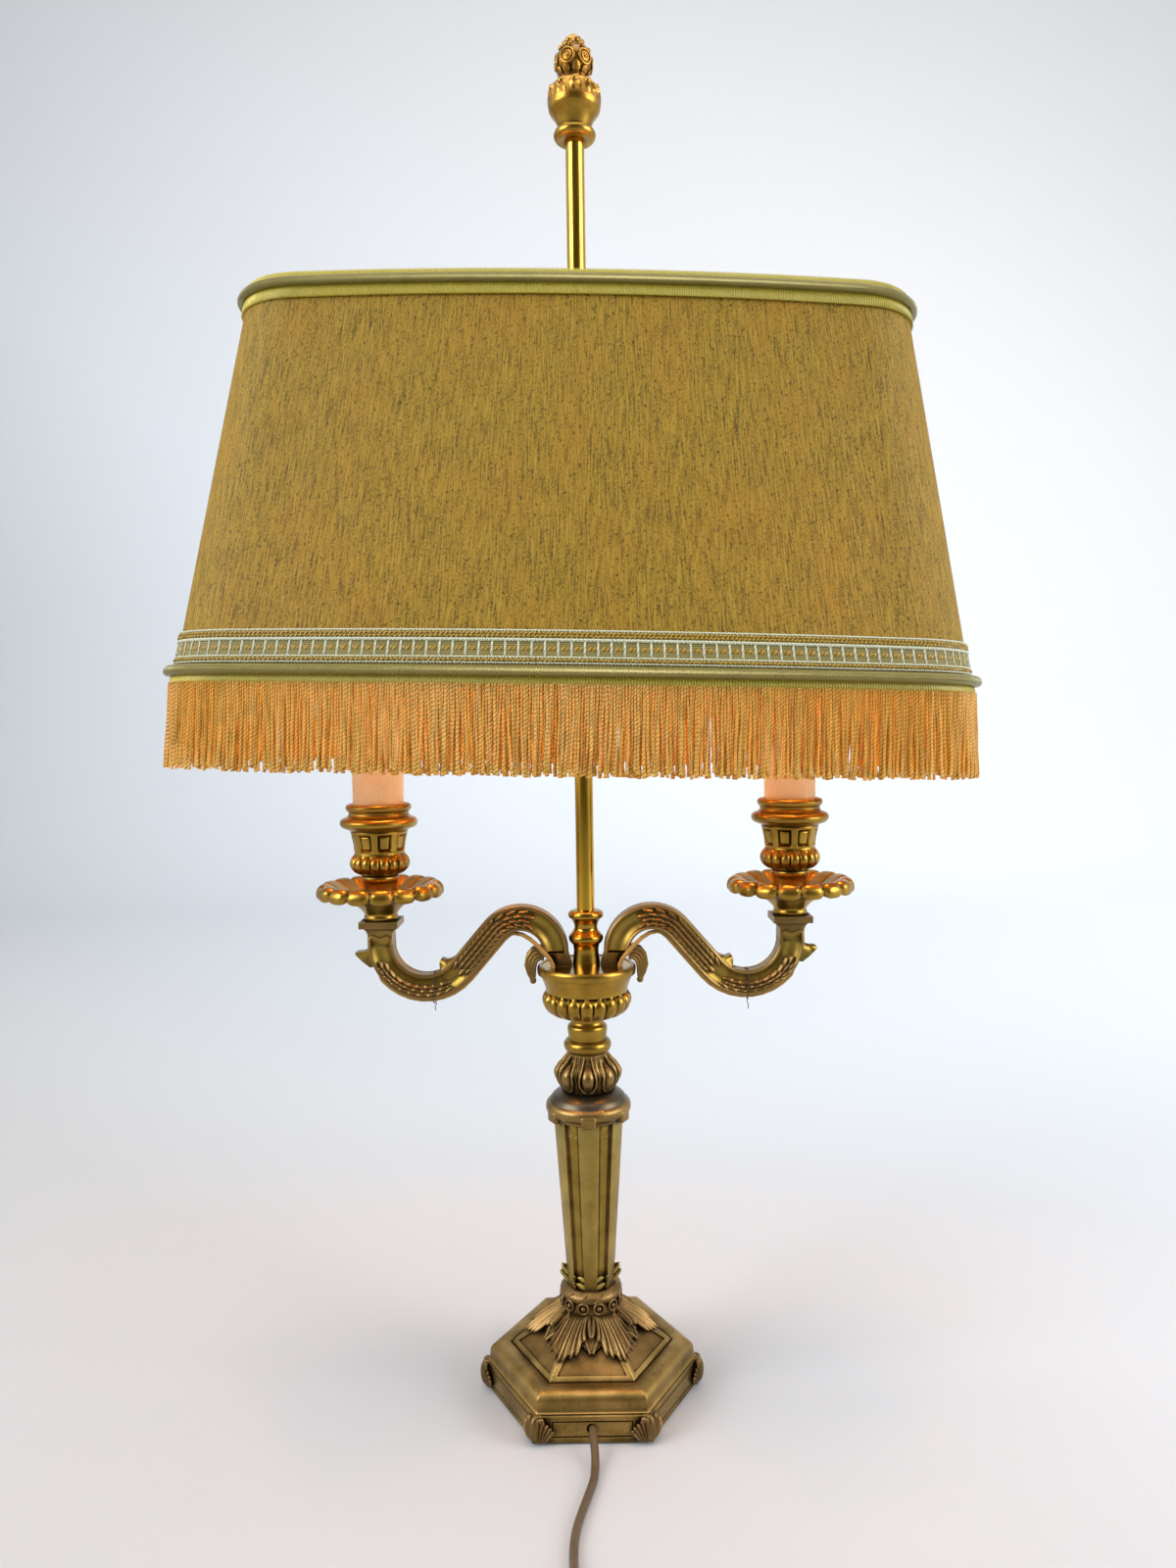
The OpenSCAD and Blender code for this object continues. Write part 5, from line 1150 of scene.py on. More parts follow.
@dataclass
class Column:
    """The tapered column, its capital, the egg knop and the neck."""

    column_z: float = 61.5
    capital_z: float = 157.0
    knop_z: float = 172.6
    neck_z: float = 193.6
    capital_r: float = 23.85
    keystone: float = 8.0

    def build(self) -> None:
        """Builds the four castings."""
        self.shaft()
        self.capital()
        self.knop()
        self.neck()

    def shaft(self) -> None:
        """Builds the column with the curled leaf tips at the foot of its pilasters."""
        bm = softened("column", 0.35, 25)
        for face in bm.faces:
            at = face.calc_center_median()
            pilaster = 12.8 + 6.2 * (at.z - self.column_z) / 95.5
            field = across(at.x, at.y) < pilaster - 0.7
            fillet = abs(off_centre(math.atan2(at.y, at.x), 6)) < 0.13
            # sunk fields take the darker finish, painted shade in the recesses; fillets and pilasters keep their
            # gilding
            face.material_index = (2 if fillet else 1) if field else 0
        for side in (-1, 1):
            for step, reach in ((0, 7.4), (1, 6.2)):
                root = framed((side * 3.4, -12.5, self.column_z + 0.6 + 4.2 * step), (side * 0.75, -0.25, 0.9), (0, -1, 0))
                stamp(bm, finger(reach, 3.0, 2.4, 0.2), spin_round(root, 6))
        settle(bm, "column_cast", Body.STAND, [GILT_COLUMN, GILT_FIELD_PAINTED_SHADE, GILT_SIDE], ["column"], 30)

    def capital(self) -> None:
        """Builds the capital: a gilt ring with six keystones under a dark dome."""
        r = self.capital_r
        profile = [(0, 0), (19.4, 0), (20.2, 1.6), (22.25, 3), (23.55, 4.2), (r, 6), (23.55, 7.8), (22.45, 9.2),
                   (21.85, 9.4), (21.25, 10.4), (19.85, 12.4), (17.25, 14.2), (13.45, 15.6), (0, 15.6)]
        bm = turned(rounded(profile, 0.7), 120)
        for face in bm.faces:
            face.material_index = int(face.calc_center_median().z > 9.35)
        for place in spin_round(Matrix.Translation((0, -r + 2.0, 3.4)), 6):
            tab = bmesh.ops.create_cube(bm, size=1)["verts"]
            bmesh.ops.scale(bm, vec=(self.keystone, 4.4, 6.8), verts=tab)
            for v in tab:
                v.co.x *= 1 + 0.08 * (v.co.z > 0)
            edges = list({e for v in tab for e in v.link_edges})
            bmesh.ops.transform(bm, matrix=place, verts=tab)
            bmesh.ops.bevel(
                bm, geom=edges, offset=1.3, segments=3, profile=0.5, affect="EDGES", clamp_overlap=True, material=-1
            )
        bmesh.ops.translate(bm, vec=(0, 0, self.capital_z), verts=bm.verts)
        settle(bm, "capital_turned", Body.STAND, [GILT, DARK_BRONZE], ["capital"])

    def knop(self) -> None:
        """Builds the knop: eight eggs in raised borders, darts between them, ribs above."""

        def carve(a: float, r: float, z: float) -> tuple[float, float]:
            """Raises the eggs in their looped borders and a rib in each gap."""
            if not 0.2 < z < 20.6:
                return r, z
            t = abs(off_centre(a, 8, -90)) * 8 / math.pi
            loop = math.hypot(t / (0.7 - 0.02 * max(z - 8, 0.0)), min(z - 8, 0.0) / 7.2)
            egg = math.hypot(t / 0.52, (z - 9) / 7.6)
            fade = min(1.0, (20.8 - z) / 3, z / 1.5)
            if egg < 1:
                lift = 2.3 * math.sqrt(1 - egg * egg) - 0.9
            elif abs(loop - 1) < 0.17:
                lift = math.cos(math.pi / 2 * (loop - 1) / 0.17)
            elif loop > 1:
                lift = 0.9 * max(0.0, 1 - abs(t - 1) / 0.16) - 0.9
            else:
                lift = -1.3
            return r + lift * fade, z

        profile = [(0, 0), (13.2, 0), (15.3, 2.9), (17.2, 6.7), (17.6, 10.5), (16, 13.9), (13.2, 16.8), (11.7, 19.3),
                   (11.2, 21), (0, 21)]
        bm = turned(rounded(profile, 0.5), 480, carve, at=(0, 0, self.knop_z))
        settle(bm, "egg_knop", Body.STAND, [GILT], ["knop"], 60)

    def neck(self) -> None:
        """Builds the turned neck under the urn."""
        profile = [(0, 0), (11.25, 0), (12.45, 1.4), (13.25, 3.2), (13.25, 5), (12.35, 6.6), (10.65, 7.4), (10.65, 9.2),
                   (10.85, 10.4), (10.85, 14.9), (9.65, 16.1), (9.05, 17.9), (9.85, 19.9), (0, 19.9)]
        bm = turned(rounded(profile, 0.6), 96, at=(0, 0, self.neck_z))
        settle(bm, "neck_turned", Body.STAND, [GILT_TURNED], ["neck_ring"])


@dataclass
class Urn:
    """The cup that carries the arms, its brass disc and the stem's collar."""

    cup_z: float = 213.5
    belly: float = 24.55
    rim: float = 27.4
    foot_z: float = 242.4
    lobes: int = 20

    def build(self) -> None:
        """Builds the lobed cup and the collar and dresses the disc and the stem."""
        b, r = self.belly, self.rim

        def lobe(a: float, radius: float, z: float) -> tuple[float, float]:
            """Sinks the gaps between the round lobes of the belly."""
            if z > 14.6 or z < 0.2 or radius < 9:
                return radius, z
            narrow = math.sqrt(max(1 - ((z - 9.4) / 5.4) ** 2, 0.0)) if z > 9.4 else 1.0
            t = abs(off_centre(a, self.lobes)) / (math.pi / self.lobes)
            depth = 1.9 * min(1.0, radius / 22)
            if narrow <= t:
                return radius - depth * 0.8, z
            return radius - depth * 0.8 + depth * math.sqrt(1 - (t / narrow) ** 2), z

        profile = [(0, 0), (10.05, 0), (0.6 * b, 0.8), (0.8 * b, 2.4), (0.93 * b, 5.2), (0.99 * b, 8), (b, 10.6),
                   (0.975 * b, 12.8), (b - 1.6, 14.4), (25.6, 24.1), (27.2, 24.7), (r, 25.7), (r, 28.1), (26.7, 29.3),
                   (24.8, 29.3), (24.8, 27.1), (0, 27.1)]
        bm = turned(rounded(profile, 0.6, 50), 240, lobe, at=(0, 0, self.cup_z))
        settle(bm, "urn_lobed", Body.STAND, [GILT_TURNED], ["urn_cup"], 50)
        h, c = 31.2, 7.6
        profile = [(5.03, 0), (c, 0), (c, 0.38 * h), (c + 0.6, 0.4 * h), (c + 1.8, 0.46 * h), (c + 1.8, 0.53 * h),
                   (c + 0.6, 0.58 * h), (c - 1.1, 0.67 * h), (c - 0.7, 0.76 * h), (c + 0.8, 0.84 * h),
                   (c + 2.05, 0.875 * h), (c + 2.05, 0.945 * h), (c + 1, 0.98 * h), (c - 1.2, h), (5.03, h)]
        bm = turned(rounded(profile, 0.6), 72, closed=True, at=(0, 0, self.foot_z))
        settle(bm, "stem_collar_turned", Body.STAND, [BRASS_TURNED], ["stem_collar"])
        dress(BRASS, "stem_tube")
        dress(BRASS_TURNED, "cup_disc")
        dress(ZINC, "arm_screws", "cup_nuts", "nipple_left", "nipple_right")


@dataclass
class Finial:
    """What is screwed on top of the stem: ring, leafy bowl, ringed ball and bud."""

    top: float = 690.0
    h: float = 51.5

    def build(self) -> None:
        """Builds the turned ring and the carved body."""
        ring = [(0, -14), (3.95, -14), (3.95, 0.1), (5.08, 0.1), (5.08, -2.4), (8.2, -2.6), (10.2, -2.0), (11.2, -0.4),
                (11.2, 1.0), (10.2, 2.8), (8.2, 3.8), (7.6, 4), (0, 4)]
        bm = turned(rounded(ring, 0.6), 72, at=(0, 0, self.top))
        settle(bm, "finial_ring_turned", Body.FINIAL, [GILT_TURNED], ["finial_ring"])
        self.carving()

    def carving(self) -> None:
        """Builds the bowl with its crown of leaves, the ball with its rings, and the bud of berries."""
        h = self.h
        body = [(0, 4), (8.4, 4), (10.9, 0.18 * h), (13.5, 0.25 * h), (14.1, 0.3 * h), (13.7, 0.37 * h), (12.9, 0.44 * h),
                (11.9, 0.49 * h), (10.0, 0.52 * h), (7.6, 0.58 * h), (7.0, 0.62 * h), (8.9, 0.66 * h), (9.8, 0.73 * h),
                (9.2, 0.79 * h), (7.2, 0.85 * h), (5.6, 0.875 * h), (5.0, 0.94 * h), (3.4, 0.985 * h), (1.4, h), (0, h)]
        bm = turned(rounded(body, 0.7), 72)
        for face in bm.faces:
            face.material_index = int(face.calc_center_median().z < 0.29 * h)
        for lift, count, size, offset in ((0.26, 10, 10.6, 0), (0.3, 10, 8.0, 18)):
            place = Matrix.Translation((13.0, 0, lift * h)) @ framed((0, 0, 0), (-0.12, 0, 1), (1, 0, 0.12))
            stamp(bm, finger(size, 5.6, 3.6, 0.1, 1.6), spin_round(place, count, offset))
        for z, count, r, size in ((0.455, 10, 11.9, 2.1), (0.5, 8, 9.4, 1.7), (0.84, 8, 7.6, 1.7), (0.88, 8, 5.2, 1.8),
                                  (0.925, 7, 4.2, 2.0), (0.965, 5, 2.5, 1.9), (0.985, 1, 0.0, 1.9)):
            ball = bmesh.new()
            bmesh.ops.create_icosphere(ball, subdivisions=2, radius=size)
            stamp(bm, ball, spin_round(Matrix.Translation((r, 0, z * h)), count, 200 * z))
        faces = spin_round(Matrix.Translation((9.2, 0, 0.725 * h)) @ Matrix.Rotation(math.pi / 2, 4, "Y"), 6, 10)
        for size in (3.7, 2.1):
            eye = [(size + 0.6 * math.cos(a), 0.2 + 0.6 * math.sin(a)) for a in (math.tau * k / 8 for k in range(8))]
            stamp(bm, turned(eye, 20, closed=True), faces)
        stamp(bm, turned([(0, 1.3), (0.9, 1.0), (1.2, 0), (0, -0.4)], 10), faces)
        cup = Matrix.Translation((7.0, 0, 0.585 * h)) @ framed((0, 0, 0), (0.42, 0, 1), (1, 0, -0.42))
        stamp(bm, finger(5.2, 4.6, 1.6, 0.1), spin_round(cup, 9))
        bmesh.ops.translate(bm, vec=(0, 0, self.top), verts=bm.verts)
        settle(bm, "finial_carved", Body.FINIAL, [GILT_DEEP, GILT_TURNED], ["finial_body"], 60)


@dataclass
class Candle:
    """One arm with its drip pan, cup, sleeve, holder and bulb."""

    side: Side
    x: float = 113.8
    bend: tuple[float, float] = (89.2, 256.5)
    bend_r: float = 24.6
    hump: tuple[float, float] = (36.5, 250.0)
    hump_r: float = 19.65
    link_turn: float = 40.587
    link: float = 29.351
    pan_z: float = 269.6
    cup_z: float = 281.8
    bulb_z: float = 415.2
    face_y: float = 4.3
    petals: int = 16

    def build(self) -> None:
        """Builds this side's pieces and dresses its nodes."""
        word = self.side.word
        self.arm()
        self.pan()
        self.cup()
        self.thread()
        self.filament()
        dress(CARD, f"sleeve_{word}")
        dress(PORCELAIN, f"lampholder_{word}")
        dress(CAP, f"bulb_cap_{word}")
        dress(GLASS, f"bulb_glass_{word}")
        dress(BRAIDED, f"arm_wire_{word}")

    @property
    def turn(self) -> Matrix:
        """The half turn that makes a left piece of a right one."""
        return Matrix.Rotation(0 if self.side is Side.RIGHT else math.pi, 4, "Z")

    def spine(self, t: float, out: float) -> tuple[Vector, Vector, Vector]:
        """Follows the scroll of the arm.

        Args:
            t: 0 under the candle, 1 and 2 at the ends of the straight, 3 at the root.
            out: Distance to the side that is outside at the bend.

        Returns:
            A point in the arm's plane, the heading there and the way out.
        """
        if t <= 2:
            a = math.radians((self.link_turn - 180) * min(t, 1))
            away = Vector((math.cos(a), math.sin(a)))
            heading = Vector((away.y, -away.x))
            spot = Vector(self.bend) + away * (self.bend_r + out) + heading * (self.link * max(t - 1, 0))
            return spot, heading, away
        a = math.radians(self.link_turn + (180 - self.link_turn) * (t - 2))
        away = -Vector((math.cos(a), math.sin(a)))
        return Vector(self.hump) - away * (self.hump_r - out), Vector((away.y, -away.x)), away

    def arm(self) -> None:
        """Builds the scrolled arm, its two leaves carved from its lowest point both ways, and the root's scroll."""
        bm = bmesh.new()
        leaves = ((0.88, -0.075, 9, -1, (0.6, 2.4, 4.1), 6.2), (0.96, 0.125, 12, 1, (-3.3, -1.1, 1.1, 3.3), 6.2))
        for face in (-1, 1):
            for start, step, count, way, lanes, size in leaves:
                for k in range(count):
                    for lane in lanes:
                        t = start + step * (k + 0.5 * (lanes.index(lane) % 2))
                        spot, heading, away = self.spine(t, lane)
                        head = heading * way
                        turn = -1 / (self.bend_r + lane) if t < 1 else 1 / (self.hump_r - lane) if t > 2 else 0.0
                        aside = turn * size * size / 2 + 0.45 * (lane - lanes[0] / 2 - lanes[-1] / 2)
                        aside *= math.copysign(1, face * (head.y * away.x - head.x * away.y))
                        root = framed((spot.x, face * 4.0, spot.y), (head.x, 0, head.y), (0, face, 0))
                        stamp(bm, finger(size, 3.2, 3.6, 0.04, aside, -0.2), [root])
            for k in range(4):
                outer = ((23.5, 9.0), (26.5, 10.2), (30, 9.0), (32.8, 5.6), (33.6, 0.8), (32.4, -3.6), (30.2, -7.8))
                inner = ((23.5, 4.8), (26, 4.6), (27.8, 3.0), (28.4, 0.6), (28.9, -1.6), (29.0, -4.4), (29.2, -7.8))
                lane = [
                    (a[0] + (b[0] - a[0]) * k / 3, face * 3.8, 242.4 + a[1] + (b[1] - a[1]) * k / 3)
                    for a, b in zip(outer, inner)
                ]
                stamp(bm, swept(lane, 1.25, 8, 0.55))
            for rim in (-5.95, 5.95):
                way = [self.spine(3 * k / 54, rim)[0] for k in range(55)]
                stamp(bm, swept([(p.x, face * 4.25, p.y) for p in way], 1.05, 8))
            x, low, top = self.x, self.bend[1] - 3, self.pan_z - 8.4
            frame_line = [(x - 5.9, low), (x - 5.9, top - 1.2), (x - 4, top), (x, top - 1.6), (x + 4, top), (x + 5.9, top - 1.2),
                          (x + 5.9, low)]
            stamp(bm, swept([(u, face * 5.8, z) for u, z in frame_line], 1.0, 8))
        ball = bmesh.new()
        bmesh.ops.create_icosphere(ball, subdivisions=2, radius=1.9)
        stamp(bm, ball, [Matrix.Translation((29.9, 0, 233.8)) @ Matrix.Diagonal((1, 1.4, 1, 1))])
        bmesh.ops.transform(bm, matrix=self.turn, verts=bm.verts)
        body = copied(f"arm_{self.side.word}")
        for face in body.faces:
            mid = face.calc_center_median()
            sunk = abs(mid.y) < 4.4 or abs(abs(mid.x) - self.x) < 5.5 and mid.z < self.pan_z - 8
            face.material_index = int(sunk and abs(face.normal.y) > 0.9)
        stamp(bm, body)
        settle(bm, f"scroll_arm_{self.side.word}", Body.STAND, [GILT, GILT_SIDE], [f"arm_{self.side.word}"], 40)

    def pan(self) -> None:
        """Builds the drip pan, its edge rolled into petals."""

        def petal(a: float, r: float, z: float) -> tuple[float, float]:
            """Domes each petal and draws its edge in at the gaps."""
            k = min(max((r - 12) / 18, 0.0), 1.0)
            t = abs(off_centre(a, self.petals, 11.25)) / (math.pi / self.petals)
            lower = r > 26 and z < 17.5
            return r * (1 - 0.05 * k * t**4), z + k * (1.9 * t**3 if lower else -1.7 * t**4)

        profile = [(0, 0), (9, 0), (9.4, 1.6), (9, 3.4), (10, 5), (12.6, 7.6), (15.9, 10.4), (19.9, 12.6), (25.9, 14.2),
                   (30.3, 13.5), (32.9, 12.7), (34.5, 13.6), (34.9, 16.2), (34.2, 18.6), (32.4, 20.4), (30.2, 21),
                   (27.6, 20.2), (23.4, 17.6), (18.6, 14.8), (13.4, 12.6), (12, 12.2), (0, 12.2)]
        bm = turned(rounded(profile, 0.9, 75), 16 * 14, petal, at=(self.side.value * self.x, 0, self.pan_z))
        word = self.side.word
        settle(bm, f"drip_pan_petals_{word}", Body.STAND, [GILT_TURNED], [f"drip_pan_{word}"], 60)

    def cup(self) -> None:
        """Builds the candle cup: lobes below, a frieze of sunk panels, and its rings."""

        def carve(a: float, r: float, z: float) -> tuple[float, float]:
            """Raises the lobes and sinks the panels inside their borders."""
            if 13.6 < z < 24.8 and r > 12.6:
                high = (z - 19.3) / 5.4
                t = abs(off_centre(a, 18, 10)) / (math.pi / 18)
                half = math.sqrt(max(1 - high * high, 0.0))
                return (r + 1.7 * math.sqrt(1 - (t / half) ** 2) * half - 0.6, z) if t < half else (r - 0.6, z)
            if 26.2 < z < 37.2 and r > 12.6:
                t = 14.8 * abs(off_centre(a, 8, 22.5))
                down = abs(z - 31.4)
                deep = min(max((3.9 - t) / 0.35, 0), 1) * min(max((4.5 - down) / 0.35, 0), 1)
                plate = min(max((3.0 - t) / 0.35, 0), 1) * min(max((3.6 - down) / 0.35, 0), 1)
                return r - 1.5 * deep + 0.8 * plate + 0.3, z
            return r, z

        profile = [(0, 0), (9.2, 0), (9.2, 8.4), (10.15, 10.2), (10.15, 12.2), (9.6, 13), (13.2, 14.4), (15.0, 17.4),
                   (15.2, 21), (14.2, 24), (13.7, 25.4), (15.4, 37.6), (17, 38.4), (20.55, 40.2), (21.25, 42.1),
                   (20.55, 44), (18.6, 45), (17.2, 45.6), (16.5, 46.8), (16.5, 48.0), (17.3, 48.8), (17.95, 50.3),
                   (17.5, 51.8), (16.45, 52.4), (14.15, 52.2), (14.15, 46.8), (11.6, 46.8), (11.6, 16), (0, 16)]
        bm = turned(rounded(profile, 0.6, 55), 216, carve, at=(self.side.value * self.x, 0, self.cup_z))
        word = self.side.word
        settle(bm, f"candle_cup_cast_{word}", Body.STAND, [GILT_TURNED], [f"candle_cup_{word}"], 50)

    def thread(self) -> None:
        """Builds the thread that ties the wire under the arm, with its loose end."""
        at = 84.7 if self.side is Side.LEFT else 89.6
        out = Vector((0, 0, -1))
        run = self.bend_r + 1.2
        centre = Vector((at, 0, self.bend[1] - math.sqrt(run * run - (at - self.bend[0]) ** 2)))
        loop = []
        for k in range(25):
            t = math.tau * k / 24
            loop.append(centre + out * (8.7 * math.copysign(abs(math.cos(t)) ** 0.5, math.cos(t)))
                        + Vector((0.3 * math.sin(2 * t), 5.45 * math.copysign(abs(math.sin(t)) ** 0.5, math.sin(t)), 0)))
        foot = centre + out * 8.7
        loose = [foot + Vector((0.1, -1.4, 0.2)), foot + Vector((-0.4, -1.7, -1.2)), foot + Vector((0.6, -1.9, -3.0)),
                 foot + Vector((0.1, -1.8, -5.2))]
        bm = swept(loop, 0.28, 6)
        stamp(bm, swept(loose, 0.24, 6))
        bmesh.ops.transform(bm, matrix=self.turn, verts=bm.verts)
        settle(bm, f"thread_tie_{self.side.word}", Body.STAND, [COTTON])

    def filament(self) -> None:
        """Builds the lit filament inside the bulb, and the light that the bulb gives, just outside its glass."""
        bm = bmesh.new()
        centre = Vector((self.side.value * self.x, 0, self.bulb_z))
        for k in range(4):
            a = math.tau * k / 4
            low = centre + Vector((2.2 * math.cos(a), 2.2 * math.sin(a), 14))
            high = centre + Vector((5.4 * math.cos(a + 0.7), 5.4 * math.sin(a + 0.7), 52))
            stamp(bm, swept([low, (low + high) / 2 + Vector((0.8, 0, 0)), high], 0.8, 8))
        settle(bm, f"filament_{self.side.word}", self.side.bulb, [FILAMENT])
        for k in range(3):
            name = f"glow_{self.side.word}_{k}"
            data = bpy.data.lights.new(name, "POINT")
            data.energy = 0.3
            data.color = linear("#ffa956")[:3]
            data.shadow_soft_size = 0.006
            glow = bpy.data.objects.new(name, data)
            bpy.context.scene.collection.objects.link(glow)
            a = math.radians(30 + 120 * k)
            glow.location = (centre + Vector((23 * math.cos(a), 23 * math.sin(a), 34))) * MM


@dataclass
class Shade:
    """The oval silk shade with its pipings, gimp, braid and fringe, leaning a little on its hub."""

    foot_z: float = 399.0
    top_z: float = 600.0
    hub_z: float = 587.0
    lean: float = 1.55
    foot: Triple = (216.0, 74.0, 52.0)
    top: Triple = (176.0, 46.5, 38.0)
    cloth: float = 1.2
    trim: float = 1.2
    work_r: float = 157.8
    fringe_top: float = 394.7
    fringe_len: float = 45.0
    fringe_count: int = 704  # a multiple of 32

    def at(self, w: float, z: float, out: float) -> Vector:
        """Returns a point of the upright shade.

        Args:
            w: How far round it is, from 0 at the right end through the back, to 1.
            z: Its height.
            out: How far outside the cloth it is.
        """
        t = (z - self.foot_z) / (self.top_z - self.foot_z)
        hw, hd, re = (a * (1 - t) + b * t + out for a, b in zip(self.foot, self.top))
        big = ((hw - re) ** 2 + hd * hd - re * re) / (2 * (hd - re))
        change = math.atan2(big - hd, hw - re)
        quarter, f = divmod(w % 1.0 * 4, 1.0)
        u = f if quarter in (0, 2) else 1 - f
        split = 0.274
        if u < split:
            a = change * u / split
            x, y = hw - re + re * math.cos(a), re * math.sin(a)
        else:
            a = change + (math.pi / 2 - change) * (u - split) / (1 - split)
            x, y = big * math.cos(a), hd - big + big * math.sin(a)
        return Vector((x if quarter in (0, 3) else -x, y if quarter in (0, 1) else -y, z))

    def wrap(self, bm: bmesh.types.BMesh, hang: bool = False) -> None:
        """Bends what was built round a plain cylinder onto the shade, and leans it.

        Args:
            bm: The mesh, built at work_r.
            hang: Whether it hangs straight down from the cloth's foot.
        """
        for v in bm.verts:
            w = math.atan2(v.co.y, v.co.x) / math.tau
            out = math.hypot(v.co.x, v.co.y) - self.work_r
            z = v.co.z
            v.co = self.at(w, self.foot_z if hang else z, out)
            v.co.z = z
        lean = (
            Matrix.Translation((0, 0, self.hub_z))
            @ Matrix.Rotation(math.radians(self.lean), 4, "Y")
            @ Matrix.Translation((0, 0, -self.hub_z))
        )
        bmesh.ops.transform(bm, matrix=lean, verts=bm.verts)

    def map_round(self, bm: bmesh.types.BMesh) -> None:
        """Gives a ring built at work_r its UV: metres round it and up it."""
        flat = bm.loops.layers.uv.new("round")
        for face in bm.faces:
            mid = face.calc_center_median()
            middle = math.atan2(mid.y, mid.x)
            for loop in face.loops:
                co = loop.vert.co
                a = math.atan2(co.y, co.x)
                a += math.tau * round((middle - a) / math.tau)
                rise = co.z + math.hypot(co.x, co.y) - self.work_r
                loop[flat].uv = (a * self.work_r * MM, rise * MM)

    def ring(self, section: Points, steps: int, rule: Optional[Rule] = None) -> bmesh.types.BMesh:
        """Builds a ring of one cross-section at work_r, with its UV, not yet wrapped.

        Args:
            section: Its points, out of the cloth and up.
            steps: Faces round it.
            rule: Carves it, as in turned().
        """
        bm = turned([(self.work_r + out, z) for out, z in section], steps, rule, closed=True)
        self.map_round(bm)
        return bm

    def piece(
        self, bm: bmesh.types.BMesh, name: str, slot: str, finishes: Sequence[Finish], replaces: Sequence[str] = (), hang: bool = False
    ) -> bpy.types.Object:
        """Wraps a ring onto the shade and finishes it."""
        self.wrap(bm, hang)
        return settle(bm, name, Body.SHADE, finishes, replaces, 60)

    def strand(self, z: float, out: float, radius: float, pitch: float, depth: float = 0.25, sides: int = 6) -> bmesh.types.BMesh:
        """Builds a twisted cord that runs round the shade.

        Args:
            z: Its height.
            out: Its middle's distance out of the cloth.
            radius: Its radius.
            pitch: Millimetres from bump to bump.
            depth: How deep the twist is, as a share of the radius.
            sides: Faces round it.
        """

        def twist(a: float, r: float, height: float) -> tuple[float, float]:
            """Swells the cord where a strand comes to the top."""
            dr, dz = r - self.work_r - out, height - z
            share = 1 + depth * math.cos(2 * math.atan2(dz, dr) - math.tau * a * self.work_r / pitch)
            return self.work_r + out + dr * share, z + dz * share

        ring = [(out + radius * math.cos(a), z + radius * math.sin(a)) for a in (math.tau * k / sides for k in range(sides))]
        return self.ring(ring, int(math.tau * self.work_r / pitch * 6), twist if depth else None)

    def build(self) -> None:
        """Builds the cloth and everything sewn to it."""
        trims = [*self.pipings(), *self.gimps(), *self.braid(), self.fringe()]
        cloth = self.silk()
        dress(ENAMEL, "shade_wires", "shade_spider")
        dress(BRASS, "shade_carrier")
        dress(BRASS_TURNED, "clamp_screw", "ring_nut")

    def silk(self) -> bpy.types.Object:
        """Builds the silk on its lining."""
        levels = [self.foot_z + (self.top_z - self.foot_z) * k / 40 for k in range(41)]
        section = [(0.0, z) for z in levels] + [(-self.cloth, z) for z in reversed(levels)]

        def slack(a: float, r: float, z: float) -> tuple[float, float]:
            """Lets the cloth sink and swell a little between its wires."""
            t = (z - self.foot_z) / (self.top_z - self.foot_z)
            swell = 0.35 * math.sin(a * 4) ** 2 * math.sin(math.pi * t) + 0.12 * math.sin(a * 37 + 2) * math.sin(math.pi * t)
            return r - swell, z

        bm = self.ring(section, 256, slack)
        for face in bm.faces:
            mid = face.calc_center_median()
            face.material_index = int(math.hypot(mid.x, mid.y) < self.work_r - self.cloth * 0.9)
        return self.piece(bm, "silk_cloth", "silk", [SILK, LINING], ["shade_cloth"])

    def pipings(self) -> list[bpy.types.Object]:
        """Builds the two satin pipings."""
        made = []
        for name, z, out, radius, node in (
            ("top", 597.2, 2.4, 2.5, "top_trim"), ("foot", 402.0, 3.1, 2.9, "bottom_rope"),
        ):
            bm = self.strand(z, out, radius, 3.0, 0.0, 14)
            made.append(self.piece(bm, f"satin_piping_{name}", "rope", [PIPING], [node]))
        return made

    def gimps(self) -> list[bpy.types.Object]:
        """Builds the ribbed gimps: above and below the top piping, and below the foot's."""
        made = []
        for name, low, high, edge in (
            ("top_edge", 597.6, 602.2, 1), ("top", 589.7, 595.2, -1), ("foot", 394.7, 400.0, -1),
        ):
            middle = (low + high) / 2

            def rib(a: float, r: float, z: float) -> tuple[float, float]:
                """Raises the ribs and scallops the free edge."""
                wave = math.cos(math.tau * a * self.work_r / 1.45)
                outer = r > self.work_r + 0.6
                free = (z - middle) * edge > 0
                return r + (0.22 * wave if outer else 0), z + (edge * 0.45 * wave if free else 0)

            section = [(0.08, low), (1.25, low), (1.5, middle), (1.25, high), (0.08, high)]
            bm = self.ring(section, int(math.tau * self.work_r / 1.45 * 4), rib)
            made.append(self.piece(bm, f"gimp_{name}", "gimp", [GIMP]))
        return made

